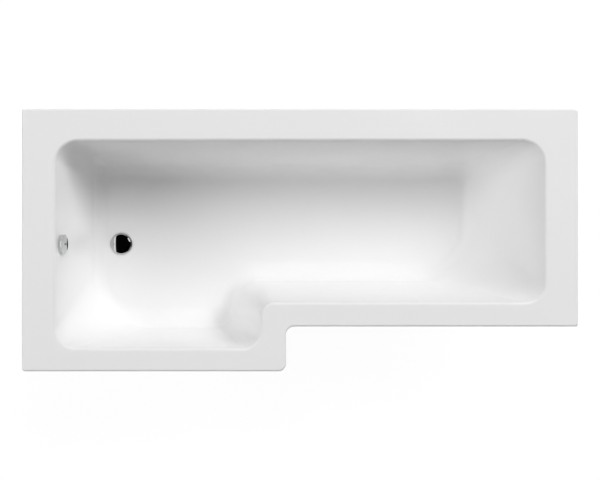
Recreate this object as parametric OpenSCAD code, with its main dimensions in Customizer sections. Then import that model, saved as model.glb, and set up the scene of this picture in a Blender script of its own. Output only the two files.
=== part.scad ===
// Square shower bath: a white acrylic bath with a wide shower end and a
// narrower bathing end, with its glass-fibre backing, baseboard, timber rim
// battens, cradle on levelling feet, pop-up waste and overflow.
// Millimetres, +Z up. The origin is on the floor, under the middle of the rim.
// +X runs from the waste end to the backrest, and +Y towards the wall.

/* [Bath] */
// Length over the rim
bath_length = 1800; // [1650:10:1900]
// Width over the rim at the shower end
bath_width = 850; // [820:5:900]
// How far the shower end stands out in front of the bathing end
step_depth = 145; // [110:5:170]
// Length of the wide shower end
shower_length = 855; // [780:5:930]
// Height of the rim above the floor, feet at mid adjustment
rim_height = 550; // [540:5:600]
// Depth of the well at the waste end
well_depth = 400; // [370:5:410]
// How much the floor of the well falls from the backrest to the waste end
floor_fall = 8; // [4:1:14]
// Acrylic sheet thickness
acrylic_t = 5; // [4:0.5:6]
// Glass-fibre backing thickness
glass_t = 3; // [2:0.5:4]

/* [Rim] */
// Flat rim width at both ends
deck_end = 99; // [90:1:110]
// Flat rim width along the wall
deck_back = 94.5; // [88:0.5:105]
// Flat rim width along the front of the shower end
deck_shower = 64.5; // [60:0.5:80]
// Flat rim width along the front of the narrow end
deck_narrow = 68.5; // [60:0.5:80]
// Flat rim width along the step
deck_step = 73; // [60:1:85]
// Height of the turned-down lip
lip_height = 38; // [34:1:45]
// Radius of the rim's outer edge
edge_roll_r = 6; // [4:0.5:8]
// Radius of the edge where the rim turns down into the well
well_roll_r = 10; // [9:0.5:14]
// Plan radius of the rim's outer corners
outer_corner_r = 9; // [8:1:12]
// Plan radius of the rim's corner at the front of the step
step_corner_r = 25; // [15:1:35]
// Plan radius of the hollow where the step meets the narrow front
step_hollow_r = 26; // [20:1:40]

/* [Well] */
// Lean of the end wall that carries the overflow, in degrees from upright
waste_end_lean = 18.5; // [16:0.5:20]
// Lean of the backrest
backrest_lean = 31.5; // [28:0.5:34]
// Lean of the long wall on the wall side
back_lean = 12.5; // [10:0.5:14]
// Lean of the front wall at the shower end
shower_lean = 11; // [9:0.5:13]
// Lean of the front wall at the narrow end
narrow_lean = 11.5; // [9:0.5:13]
// Lean of the short wall at the step
step_lean = 15; // [12:0.5:17]
// Radius between the walls and the floor
floor_fillet_r = 70; // [60:1:80]
// Radius between the waste end wall and the floor
waste_fillet_r = 50; // [42:1:55]
// Plan radius of the opening's corners on the wall side
back_corner_r = 84; // [70:1:95]
// Plan radius of the opening's front corners at both ends
front_corner_r = 76; // [65:1:90]
// Plan radius of the opening's hollow corner beside the step
step_inner_r = 72; // [60:1:80]
// Plan radius of the nose where the step meets the narrow front
step_nose_r = 35; // [30:1:50]
// Plan radius at the foot of the corners on the wall side
back_foot_r = 52; // [45:1:65]
// Plan radius at the foot of the front corners
front_foot_r = 175; // [140:1:180]
// Plan radius at the foot of the hollow corner beside the step
step_inner_foot_r = 60; // [40:1:90]
// Plan radius at the foot of the nose
step_nose_foot_r = 90; // [75:1:110]

/* [Waste] */
// Waste centre from the waste end of the rim
waste_from_end = 318; // [312:1:330]
// Waste centre from the wall edge of the rim
waste_from_back = 438; // [410:1:460]
// Hole through the floor for the waste
waste_hole_d = 52; // [51:0.5:54]
// How much more the floor dips at the waste itself
waste_dip = 1; // [0.6:0.2:2]
// Depth of the round recess that the flange sits in
waste_recess = 1; // [0.6:0.2:2]
// Waste flange diameter
flange_d = 72; // [70:1:76]
// Waste flange thickness
flange_t = 2; // [1.6:0.2:2.6]
// Thickness of the seal under the flange
flange_seal_t = 1; // [0.6:0.2:1.6]
// Outside diameter of the flange's throat
throat_d = 47.2; // [46:0.2:48]
// Wall of the throat
throat_wall = 2.6; // [2:0.2:3]
// Thickness of the seal under the bath
under_seal_t = 4; // [3:0.5:5]
// Domed plug diameter
plug_d = 66; // [62:1:68]
// Height of the plug's dome above its edge
plug_dome = 5; // [3:0.5:7]
// Thickness of the plug's edge
plug_edge_t = 1.6; // [1.2:0.2:2.4]
// How far the plug lifts
plug_travel = 9; // [6:1:10]
// Inside depth of the waste body
cup_depth = 35; // [33:1:38]
// Wall of the plastic waste body
body_wall = 3.5; // [3:0.5:4]
// Outside diameter of the outlet's thread
tail_d = 47.8; // [46:0.2:48]
// Length of the outlet
tail_length = 28; // [22:1:32]

/* [Overflow] */
// Overflow centre below the rim
overflow_drop = 58; // [56:1:64]
// Overflow cover diameter
cover_d = 62; // [60:1:70]
// Overflow cover height off the wall
cover_h = 16; // [12:1:18]
// Hole through the end wall
overflow_hole_d = 50; // [46:1:52]
// Depth of the cup behind the wall
elbow_depth = 32; // [30:1:36]
// Smooth end of the overflow hose, outside diameter
hose_d = 32; // [31:0.5:33]
// Bore of the overflow hose
hose_bore_d = 26; // [24:0.5:27]
// Rib height above the hose's wall
hose_rib = 1.8; // [1:0.2:2.2]
// Distance from one hose rib to the next
hose_pitch = 8; // [7:0.5:12]
// Bend radius of the hose
hose_bend_r = 125; // [100:1:128]

/* [Cradle] */
// Baseboard thickness
board_t = 15; // [12:1:18]
// Gap from the waste centre to the baseboard
board_from_waste = 75; // [60:1:90]
// Cross-bar width
bar_width = 38; // [34:1:45]
// Cross-bar height
bar_height = 20; // [16:1:25]
// Cross-bar sheet thickness
bar_t = 2; // [1.5:0.5:3]
// Distance from each end of the baseboard to its cross-bar
bar_inset = 60; // [45:1:90]
// Distance from the wall edge of the rim to the feet there
foot_from_back = 125; // [115:1:140]
// Distance from the front edges of the rim to the feet there
foot_from_front = 110; // [100:1:125]
// Foot stud diameter
stud_d = 12; // [10:1:14]
// Stud length above the cross-bar
stud_proud = 36; // [30:1:42]
// Foot pad diameter
pad_d = 50; // [44:1:60]
// Foot pad height
pad_h = 18; // [14:1:24]
// Height of the flanged nuts
nut_h = 8; // [6:0.5:10]
// Timber batten depth
batten_h = 30; // [24:1:34]
// Timber batten width along the wall and at the ends
batten_w = 40; // [30:1:45]
// Timber batten width along the fronts
front_batten_w = 30; // [24:1:34]
// Distance between the wall brackets
bracket_spacing = 1000; // [800:10:1200]
// Wall bracket width
bracket_w = 40; // [34:1:50]
// Wall bracket drop
bracket_drop = 42; // [34:1:55]
// Wall bracket screw hole
bracket_hole_d = 7; // [5:0.5:8]

/* [Hidden] */
$fn = 64;

// Facet counts of the moulded shell
corner_steps = 10;
roll_steps = 4;
edge_steps = 3;
fillet_steps = 6;

// Clearances
thread_gap = 0.05;      // radial, between screwed parts
running_gap = 0.08;     // radial, where a nut turns on its stud
slip_gap = 0.3;         // radial, where one part drops into another
seat_gap = 0.3;         // between the plug and its seat
cut = 1;                // how far a cutting shape passes a face
fine = 0.01;            // overlap that joins two shapes of one piece

// Main levels
top_z = rim_height;
lip_z = top_z - lip_height;
floor_z = top_z - well_depth;
resin_bed = 1;
under_z = floor_z - acrylic_t - glass_t - resin_bed;
deck_under_z = top_z - acrylic_t - glass_t;

// Sides of the rim, counter-clockwise seen from above
LEFT = 0;
SHOWER = 1;
STEP = 2;
NARROW = 3;
RIGHT = 4;
BACK = 5;
rim_edge = [
    -bath_length / 2, -bath_width / 2, shower_length - bath_length / 2,
    step_depth - bath_width / 2, bath_length / 2, bath_width / 2
];
inward = [1, 1, -1, 1, -1, -1];
deck = [deck_end, deck_shower, deck_step, deck_narrow, deck_end, deck_back];
lean = [waste_end_lean, shower_lean, step_lean, narrow_lean, backrest_lean, back_lean];
fillet_r = [for (side = [0:5]) side == LEFT ? waste_fillet_r : floor_fillet_r];

// Corners: each lies between the side of its number and the next one
corner_start = [180, 270, 180, 270, 0, 90];
corner_turn = [1, 1, -1, 1, 1, 1];
rim_r = [
    outer_corner_r, step_corner_r, step_hollow_r, outer_corner_r, outer_corner_r, outer_corner_r
];
open_r = [
    front_corner_r, step_inner_r, step_nose_r, front_corner_r, back_corner_r, back_corner_r
];
foot_r = [
    front_foot_r, step_inner_foot_r, step_nose_foot_r, front_foot_r, back_foot_r, back_foot_r
];
min_corner_r = 15;
floor_r = [
    for (c = [0:5]) max(min_corner_r, foot_r[c] - corner_turn[c] * floor_fillet_r)
];

// Inset from the rim's edge to where a wall's fillet meets the floor
function floor_inset(side) =
    let (arc = well_roll_r + fillet_r[side], drop = well_depth - arc)
    deck[side] + (arc + drop * sin(lean[side])) / cos(lean[side]);
function line_at(side, inset) = rim_edge[side] + inward[side] * inset;
floor_left = line_at(LEFT, floor_inset(LEFT));
floor_right = line_at(RIGHT, floor_inset(RIGHT));
fall_slope = floor_fall / (floor_right - floor_left);

// The floor's fall tilts it about the foot of the waste end wall and fades out at the rim.
// The waste end wall and the flat of the rim stay true, so that what is fitted there seats.
function fallen(p) =
    let (
        fade = max(0, deck_under_z - p[2]) / (deck_under_z - floor_z),
        run = max(0, p[0] - floor_left)
    )
    [p[0], p[1], p[2] + fall_slope * run * fade];

// One closed outline with its own inset and height on each side and radius at each corner
function corner_point(c, i, insets, radii, heights) =
    let (
        across = c % 2 == 0 ? c : (c + 1) % 6,
        along = c % 2 == 0 ? c + 1 : c,
        a = corner_start[c] + corner_turn[c] * 90 * i / corner_steps,
        mid = corner_start[c] + corner_turn[c] * 45,
        x = line_at(across, insets[across]) + radii[c] * (cos(a) - sign(cos(mid))),
        y = line_at(along, insets[along]) + radii[c] * (sin(a) - sign(sin(mid))),
        z = heights[c] + (heights[(c + 1) % 6] - heights[c]) * i / corner_steps
    )
    [x, y, z];
function outline(insets, radii, heights) =
    let (fitted = fitted_radii(insets, radii))
    [for (c = [0:5], i = [0:corner_steps]) corner_point(c, i, insets, fitted, heights)];

// The step's two corners share its length, so their arcs never pass each other
step_straight = 0.03;   // share of the step kept straight between them
function fitted_radii(insets, radii) =
    let (
        step_length = line_at(NARROW, insets[NARROW]) - line_at(SHOWER, insets[SHOWER]),
        share = min(1, step_length * (1 - step_straight) / (radii[1] + radii[2]))
    )
    [for (c = [0:5]) c == 1 || c == 2 ? radii[c] * share : radii[c]];

// Outline at one inset all round, with corners that stay parallel to the rim's
function rim_outline(inset, z) = outline(
    [for (side = [0:5]) inset],
    [for (c = [0:5]) max(1, rim_r[c] - corner_turn[c] * inset)],
    [for (side = [0:5]) z]
);

// Section of one wall as [inset, height]: stage 0 to 1 is the roll at the rim,
// 1 to 2 the straight wall and 2 to 3 the fillet to the floor. depth is the
// distance below the surface that shows.
function roll_point(side, a, depth) =
    let (r = well_roll_r - depth)
    [deck[side] + r * cos(a), top_z - well_roll_r + r * sin(a)];
function fillet_point(side, a, depth) =
    let (r = fillet_r[side] + depth)
    [floor_inset(side) - r * cos(a), floor_z + fillet_r[side] - r * sin(a)];
function wall_point(side, stage, depth) =
    let (
        part = stage <= 1 ? stage : stage < 2 ? stage - 1 : stage - 2,
        a = stage <= 1 ? 90 - part * (90 - lean[side]) : lean[side] + part * (90 - lean[side])
    )
    stage <= 1 ? roll_point(side, a, depth)
    : stage < 2 ? (1 - part) * roll_point(side, lean[side], depth)
        + part * fillet_point(side, lean[side], depth)
    : fillet_point(side, a, depth);
function well_radius(c, stage, depth) =
    let (
        turn = corner_turn[c],
        wall_top = open_r[c] - turn * well_roll_r,
        spread = stage <= 1 ? sin(90 * stage) : stage < 2 ? 1 : cos(90 * (stage - 2))
    )
    turn * depth * spread + (
        stage <= 1 ? open_r[c] + (wall_top - open_r[c]) * sin(90 * stage)
        : stage < 2 ? wall_top + (foot_r[c] - wall_top) * (stage - 1)
        : foot_r[c] + (floor_r[c] - foot_r[c]) * (1 - cos(90 * (stage - 2)))
    );
stages = concat(
    [for (i = [0:roll_steps]) i / roll_steps],
    [1.5],
    [for (i = [0:fillet_steps]) 2 + i / fillet_steps]
);
function well_outline(stage, depth) = [
    for (p = outline(
        [for (side = [0:5]) wall_point(side, stage, depth)[0]],
        [for (c = [0:5]) well_radius(c, stage, depth)],
        [for (side = [0:5]) wall_point(side, stage, depth)[1]]
    )) fallen(p)
];
function well_outlines(depth) = [for (stage = stages) well_outline(stage, depth)];
function reversed(items) = [for (i = [len(items) - 1:-1:0]) items[i]];

// Waste centre, at its seat in the floor's recess
waste_x = rim_edge[LEFT] + waste_from_end;
waste_y = rim_edge[BACK] - waste_from_back;
function dip_point(depth) =
    fallen([waste_x, waste_y, floor_z - depth]) - [0, 0, waste_dip];
seat_z = dip_point(0)[2] - waste_recess;
recess_gap = 3;

// Solid between outlines in turn, each the start of the next band, closed by fans
// to the two end points, or into a loop where there are none. It is flipped where the
// outlines go round the section the other way.
module loft(outlines, ends = [], flipped = false) {
    n = len(outlines[0]);
    m = len(outlines);
    bands = len(ends) == 0 ? m : m - 1;
    first = m * n;
    last = m * n + 1;
    points = concat([for (o = outlines) each o], ends);
    sides = [
        for (i = [0:bands - 1], k = [0:n - 1])
            let (
                j = (i + 1) % m,
                a = i * n + k,
                b = i * n + (k + 1) % n,
                c = j * n + (k + 1) % n,
                d = j * n + k
            )
            each [[a, b, c], [a, c, d]]
    ];
    fans = len(ends) == 0 ? [] : [
        for (k = [0:n - 1])
            let (e = (m - 1) * n)
            each [[first, (k + 1) % n, k], [last, e + k, e + (k + 1) % n]]
    ];
    faces = concat(sides, fans);
    polyhedron(points, flipped ? [for (face = faces) reversed(face)] : faces);
}

// Turned shape from its half section
module turned(section) {
    rotate_extrude()
        polygon(section);
}

// Ring between two radii and two levels
module ring(r_out, r_in, z_low, z_high) {
    translate([0, 0, z_low])
        difference() {
            cylinder(r = r_out, h = z_high - z_low);
            translate([0, 0, -cut])
                cylinder(r = r_in, h = z_high - z_low + 2 * cut);
        }
}

// Waste parts
waste_hole_r = waste_hole_d / 2;
flange_r = flange_d / 2;
throat_r = throat_d / 2;
throat_in_r = throat_r - throat_wall;
flange_low_z = seat_z + flange_seal_t;
flange_top_z = flange_low_z + flange_t;
dish_r = 31;
dish_drop = 2.6;
seal_clear = 1;         // radial, seals kept back from the hole and the flange's edge
under_seal_w = 11;
under_seal_r = waste_hole_r + under_seal_w;
cup_top_z = under_z - under_seal_t;
cup_flange_t = 4;
cup_water_gap = 5.4;    // radial, round the throat
cup_r_in = throat_r + cup_water_gap;
cup_r = cup_r_in + body_wall;
cup_low_z = cup_top_z - cup_depth;
thread_ring_h = 8;
throat_short = 2;       // how far the throat stays clear of its thread's shoulder
throat_low_z = cup_low_z - thread_ring_h + throat_short;
body_taper_h = 4;
shoulder_h = 2;
tail_top_z = cup_low_z - thread_ring_h - shoulder_h - body_taper_h;
tail_low_z = tail_top_z - tail_length;
tail_r = tail_d / 2;
inlet_r = hose_bore_d / 2;
inlet_rise = 3;
inlet_z = cup_low_z + inlet_r + inlet_rise;
socket_r = hose_d / 2 + slip_gap;
socket_wall = 2.4;
socket_depth = 14;
spigot_r = socket_r + socket_wall;
spigot_length = 28;
inlet_end_x = waste_x - cup_r - spigot_length;

// Pop-up parts
post_r = 3.1;
stem_r = 5;
sleeve_r = 8;
chamber_r = 6.3;
collar_r = 6;
collar_h = 2;
hub_r = 9;
hub_rise = 8;
hub_low_z = throat_low_z + hub_rise;
hub_h = 6;
hub_top_z = hub_low_z + hub_h;
sleeve_end_t = 2;
chamber_low_z = hub_top_z + sleeve_end_t;
plug_under_z = flange_top_z + seat_gap;
plug_boss_r = 6.5;
plug_boss_drop = 6;
boss_clear = 2;         // between the plug's boss and the sleeve
sleeve_top_z = plug_under_z - plug_boss_drop - boss_clear;
chamber_top_z = sleeve_top_z - sleeve_end_t;
collar_clear = 0.5;     // left above the collar when the plug is up
collar_z = chamber_top_z - collar_clear - plug_travel - collar_h;
spring_wire_r = 0.5;
spring_inset = 0.4;
spring_r = collar_r - spring_wire_r - spring_inset;
spring_turns = 6;
spring_ends_gap = 0.2;
plug_r = plug_d / 2;
plug_seal_t = 1.6;
plug_seal_r = 25.5;

// Overflow frame: its origin on the end wall's face, +Z out of the wall, +X down the wall
wall_run = (well_roll_r * (sin(waste_end_lean) - 1) + overflow_drop) / cos(waste_end_lean);
overflow_x = rim_edge[LEFT] + deck_end + well_roll_r * cos(waste_end_lean)
    + wall_run * sin(waste_end_lean);
overflow_z = top_z - overflow_drop;
overflow_hole_r = overflow_hole_d / 2;
wall_t = acrylic_t + glass_t;
cover_r = cover_d / 2;
cover_t = 1.6;
cover_seat_gap = 0.4;
cover_recess = 0.6;     // how far the cover's middle lies below its face
front_washer_t = 1;
grid_t = 2;
grid_r = cover_r - cover_t - slip_gap;
screw_r = 3;
screw_head_r = 5.5;
screw_head_h = 2.4;
boss_r = 5;
back_seal_t = 5;
elbow_r_in = overflow_hole_r + seal_clear / 2;
elbow_wall = 3;
elbow_r = elbow_r_in + elbow_wall;
elbow_flange_r = overflow_hole_r + 9;
elbow_flange_t = 4;
elbow_top = -wall_t - back_seal_t;
elbow_low = elbow_top - elbow_depth;
elbow_mid = elbow_top - (elbow_depth + seal_clear * 2) / 2;
spider_rise = 5;
spider_z = elbow_low + spider_rise;
spider_h = 9;
hose_x = overflow_x + elbow_mid * cos(waste_end_lean);
elbow_mid_z = overflow_z + elbow_mid * sin(waste_end_lean);
elbow_spigot_length = 22;
spigot_low_z = elbow_mid_z - elbow_r / cos(waste_end_lean) - elbow_spigot_length;

// Hose run: straight down from the elbow, round one bend and along to the waste
hose_r = hose_d / 2;
hose_sides = 12;
hose_push = 10;
hose_start_z = spigot_low_z + hose_push;
hose_end_x = inlet_end_x + hose_push;
hose_down = hose_start_z - inlet_z - hose_bend_r;
hose_bend = hose_bend_r * PI / 2;
hose_along = hose_end_x - hose_x - hose_bend_r;
hose_length = hose_down + hose_bend + hose_along;
hose_cuff = hose_d;
rib_root_drop = 1;
rib_lead = 0.5;
hose_root_r = hose_r - rib_root_drop;
hose_ribs = floor((hose_length - 2 * hose_cuff) / hose_pitch);
rib_start = (hose_length - hose_ribs * hose_pitch) / 2;
bore_steps = 24;
hose_seal_t = 3;
hose_nut_lip = 2.6;
hose_nut_wall = 3.4;
hose_nut_h = 17;

// Cradle
board_margin = 12;
board_corner_r = 30;
board_left = waste_x + board_from_waste;
board_right = floor_right - board_margin;
board_back = line_at(BACK, floor_inset(BACK) + board_margin);
board_shower = line_at(SHOWER, floor_inset(SHOWER) + board_margin);
board_narrow = line_at(NARROW, floor_inset(NARROW) + board_margin);
board_low_z = under_z - board_t;
web_low_z = board_low_z - bar_t;
middle_bar_shift = 20;  // sets the middle bar's foot clear of the step
bar_x = [
    board_left + bar_inset, (board_left + board_right) / 2 + middle_bar_shift,
    board_right - bar_inset
];
back_foot_y = rim_edge[BACK] - foot_from_back;
front_foot_y = [
    rim_edge[SHOWER] + foot_from_front,
    rim_edge[NARROW] + foot_from_front,
    rim_edge[NARROW] + foot_from_front
];
bar_overhang = 25;
screw_edge = 30;
bar_board_front = [board_shower, board_narrow, board_narrow];
function screw_ys(i) =
    let (low = bar_board_front[i] + screw_edge, high = board_back - screw_edge)
    [low, (low + high) / 2, high];
foot_at = [
    for (i = [0:2]) each [[bar_x[i], front_foot_y[i]], [bar_x[i], back_foot_y]]
];
board_screw_r = 2.2;
board_screw_head_r = 4.4;
board_screw_head_h = 2.6;
board_screw_length = 13;
stud_r = stud_d / 2;
stud_hole_gap = 0.5;
nut_flats_ratio = 1.5;  // width across a nut's flats, in stud diameters
nut_flange_ratio = 1.9; // a nut's flange, in stud diameters
nut_flats = stud_d * nut_flats_ratio;
nut_flange_r = stud_r * nut_flange_ratio;
nut_flange_t = 1.6;
pad_socket_depth = 10;

// Battens and brackets
batten_from_edge = 12;
batten_gap = 3;
batten_low_z = deck_under_z - batten_h;
bracket_t = 2;
bracket_lip_gap = 0.3;  // between the bracket and the lip above it
bracket_top_z = min(batten_low_z, lip_z - bracket_lip_gap);
bracket_hole_drop = 25;
bracket_reach = 60;
bracket_screw_y = rim_edge[BACK] - batten_from_edge - batten_w / 2;

// White acrylic shell: well, flat rim and turned-down lip, with the two holes
module tub_shell() {
    color("white")
        difference() {
            loft(
                concat(
                    reversed(well_outlines(0)),
                    [
                        for (i = [0:edge_steps])
                            let (a = 90 * i / edge_steps)
                            rim_outline(
                                edge_roll_r * (1 - sin(a)), top_z - edge_roll_r * (1 - cos(a))
                            )
                    ],
                    [
                        rim_outline(0, lip_z),
                        rim_outline(acrylic_t, lip_z),
                        rim_outline(acrylic_t, top_z - acrylic_t)
                    ],
                    well_outlines(acrylic_t)
                ),
                [dip_point(0), dip_point(acrylic_t)]
            );
            translate([waste_x, waste_y, seat_z])
                cylinder(r = flange_r + recess_gap, h = well_depth / 4);
            shell_holes();
        }
}

// The waste hole and the overflow hole, through shell and backing alike
module shell_holes() {
    translate([waste_x, waste_y, under_z - cut])
        cylinder(r = waste_hole_r, h = floor_z - under_z + 2 * cut);
    overflow_frame()
        translate([0, 0, -wall_t - 2 * cut])
            cylinder(r = overflow_hole_r, h = wall_t + 4 * cut);
}

// Moves a shape from the overflow's own frame to its place on the end wall
module overflow_frame() {
    translate([overflow_x, waste_y, overflow_z])
        rotate([0, 90 - waste_end_lean, 0])
            children();
}

// Glass-fibre and resin layer under the acrylic, flat under the floor for the board
module glass_fibre_backing() {
    lip_gap = 3;
    edge_inset = acrylic_t + lip_gap;
    bed_step = 8;
    color("gainsboro")
        difference() {
            loft(
                concat(
                    [
                        outline(
                            [for (side = [0:5]) floor_inset(side) + bed_step],
                            [for (c = [0:5]) floor_r[c] - corner_turn[c] * bed_step],
                            [for (side = [0:5]) under_z]
                        )
                    ],
                    reversed(well_outlines(wall_t)),
                    [
                        rim_outline(edge_inset, deck_under_z),
                        rim_outline(edge_inset, top_z - acrylic_t)
                    ],
                    well_outlines(acrylic_t)
                ),
                [[waste_x, waste_y, under_z], dip_point(acrylic_t)],
                flipped = true
            );
            shell_holes();
        }
}

// Chipboard baseboard bonded under the floor, drilled for the cross-bar screws
module baseboard() {
    step_line = line_at(STEP, floor_inset(STEP) + board_margin);
    nose_r = floor_r[2] + board_margin;
    nose_at = [step_line + nose_r, board_narrow - nose_r];
    r = board_corner_r;
    color("burlywood")
        difference() {
            translate([0, 0, board_low_z])
                linear_extrude(board_t)
                    polygon(concat(
                        arc([board_left + r, board_shower + r], r, 180, 270),
                        arc([step_line - r, board_shower + r], r, 270, 360),
                        arc(nose_at, nose_r, 180, 90),
                        arc([board_right - r, board_narrow + r], r, 270, 360),
                        arc([board_right - r, board_back - r], r, 0, 90),
                        arc([board_left + r, board_back - r], r, 90, 180)
                    ));
            for (i = [0:2], y = screw_ys(i))
                translate([bar_x[i], y, board_low_z - cut])
                    cylinder(r = board_screw_r + thread_gap, h = board_screw_length + cut);
        }
}

// Points on an arc about a centre
function arc(centre, r, from, to) = [
    for (i = [0:corner_steps])
        let (a = from + (to - from) * i / corner_steps)
        centre + r * [cos(a), sin(a)]
];

// Timber batten between two corners, under the rim's backing
module batten(x_low, x_high, y_low, y_high) {
    color("tan")
        translate([x_low, y_low, batten_low_z])
            cube([x_high - x_low, y_high - y_low, batten_h]);
}

// Batten lines: the outer face of each batten, in from the rim's edge
batten_left = rim_edge[LEFT] + batten_from_edge;
batten_right = rim_edge[RIGHT] - batten_from_edge;
batten_back = rim_edge[BACK] - batten_from_edge;
batten_shower = rim_edge[SHOWER] + batten_from_edge;
batten_narrow = rim_edge[NARROW] + batten_from_edge;
batten_step_x = rim_edge[STEP] - batten_from_edge;

module batten_wall_side() {
    difference() {
        batten(batten_left, batten_right, batten_back - batten_w, batten_back);
        for (x = bracket_screw_xs)
            translate([x, bracket_screw_y, batten_low_z - cut])
                cylinder(r = board_screw_r + thread_gap, h = board_screw_length + cut);
    }
}

module batten_waste_end() {
    batten(
        batten_left, batten_left + batten_w,
        batten_shower + front_batten_w + batten_gap, batten_back - batten_w - batten_gap
    );
}

module batten_backrest_end() {
    batten(
        batten_right - batten_w, batten_right,
        batten_narrow + front_batten_w + batten_gap, batten_back - batten_w - batten_gap
    );
}

module batten_narrow_front() {
    batten(
        batten_step_x + batten_gap, batten_right, batten_narrow, batten_narrow + front_batten_w
    );
}

module batten_shower_front() {
    batten(batten_left, batten_step_x, batten_shower, batten_shower + front_batten_w);
}

module batten_step() {
    batten(
        batten_step_x - front_batten_w, batten_step_x,
        batten_shower + front_batten_w + batten_gap, batten_narrow + front_batten_w
    );
}

// Folded steel cross-bar, open underneath, with holes for two studs and three screws
module cradle_bar(i) {
    front = front_foot_y[i] - bar_overhang;
    length = back_foot_y + bar_overhang - front;
    color("silver")
        difference() {
            translate([bar_x[i] - bar_width / 2, front, board_low_z - bar_height])
                cube([bar_width, length, bar_height]);
            translate([bar_x[i] - bar_width / 2 + bar_t, front - cut, board_low_z - bar_height - cut])
                cube([bar_width - 2 * bar_t, length + 2 * cut, bar_height - bar_t + cut]);
            for (y = [front_foot_y[i], back_foot_y])
                translate([bar_x[i], y, web_low_z - cut])
                    cylinder(r = stud_r + stud_hole_gap, h = bar_t + 2 * cut);
            for (y = screw_ys(i))
                translate([bar_x[i], y, web_low_z - cut])
                    cylinder(r = board_screw_r + slip_gap, h = bar_t + 2 * cut);
        }
}

// Pan-head screw driven upwards, its head under a sheet of the given thickness
module wood_screw(sheet_t) {
    drive_r = 1.6;
    color("silver")
        difference() {
            union() {
                translate([0, 0, -sheet_t - board_screw_head_h])
                    cylinder(r = board_screw_head_r, h = board_screw_head_h);
                translate([0, 0, -sheet_t - fine])
                    cylinder(r = board_screw_r, h = board_screw_length + sheet_t - cut);
            }
            translate([0, 0, -sheet_t - board_screw_head_h - cut])
                cylinder(r = drive_r, h = cut + board_screw_head_h / 2, $fn = 6);
        }
}

module cradle_screws() {
    for (i = [0:2], y = screw_ys(i))
        translate([bar_x[i], y, board_low_z])
            wood_screw(bar_t);
}

// Steel angle that ties the rim to the wall, screwed up into the batten
module wall_bracket(x) {
    color("silver")
        difference() {
            translate([x - bracket_w / 2, rim_edge[BACK] - bracket_reach, bracket_top_z - bracket_drop])
                cube([bracket_w, bracket_reach, bracket_drop]);
            translate([
                x - bracket_w / 2 - cut, rim_edge[BACK] - bracket_reach - cut,
                bracket_top_z - bracket_drop - cut
            ])
                cube([
                    bracket_w + 2 * cut, bracket_reach - bracket_t + cut,
                    bracket_drop - bracket_t + cut
                ]);
            for (side = [-1, 1])
                translate([x + side * bracket_w / 4, bracket_screw_y, bracket_top_z - bracket_t - cut])
                    cylinder(r = board_screw_r + slip_gap, h = bracket_t + 2 * cut);
            translate([x, rim_edge[BACK] - bracket_t - cut, bracket_top_z - bracket_hole_drop])
                rotate([-90, 0, 0])
                    cylinder(d = bracket_hole_d, h = bracket_t + 2 * cut);
        }
}
bracket_xs = [-bracket_spacing / 2, bracket_spacing / 2];
bracket_screw_xs = [
    for (x = bracket_xs, side = [-1, 1]) x + side * bracket_w / 4
];

module bracket_screws() {
    for (x = bracket_screw_xs)
        translate([x, bracket_screw_y, batten_low_z])
            wood_screw(bracket_t + batten_low_z - bracket_top_z);
}

// Everything of the waste turns about the waste centre
module at_waste() {
    translate([waste_x, waste_y, 0])
        children();
}

// Chromed flange with its threaded throat, overflow slots and the hub that holds the sleeve
module waste_flange() {
    slot_w = 10;
    slot_h = 8;
    slot_rise = 1;
    arm_w = 4;
    arm_from = (stem_r + hub_r) / 2;
    edge_t = 0.8;
    bevel = 1.5;
    color("silver")
        at_waste() {
            difference() {
                turned([
                    [throat_in_r, throat_low_z],
                    [throat_r, throat_low_z],
                    [throat_r, flange_low_z],
                    [flange_r, flange_low_z],
                    [flange_r, flange_low_z + edge_t],
                    [flange_r - bevel, flange_top_z],
                    [dish_r, flange_top_z],
                    [throat_in_r + bevel, flange_top_z - dish_drop],
                    [throat_in_r, flange_top_z - dish_drop - bevel]
                ]);
                for (a = [0:90:270])
                    rotate([0, 0, a])
                        translate([throat_in_r - cut, -slot_w / 2, cup_low_z + slot_rise])
                            cube([throat_wall + 2 * cut, slot_w, slot_h]);
            }
            difference() {
                union() {
                    translate([0, 0, hub_low_z])
                        cylinder(r = hub_r, h = hub_h);
                    for (a = [45:120:285])
                        rotate([0, 0, a])
                            translate([arm_from, -arm_w / 2, hub_low_z])
                                cube([throat_in_r + throat_wall / 2 - arm_from, arm_w, hub_h]);
                }
                translate([0, 0, hub_low_z - cut])
                    cylinder(r = stem_r + thread_gap, h = hub_h + 2 * cut);
            }
        }
}

module flange_seal() {
    color("dimgray")
        at_waste()
            ring(flange_r - seal_clear, waste_hole_r + seal_clear, seat_z, flange_low_z);
}

module under_seal() {
    color("dimgray")
        at_waste()
            ring(under_seal_r, waste_hole_r + seal_clear, cup_top_z, under_z);
}

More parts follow.
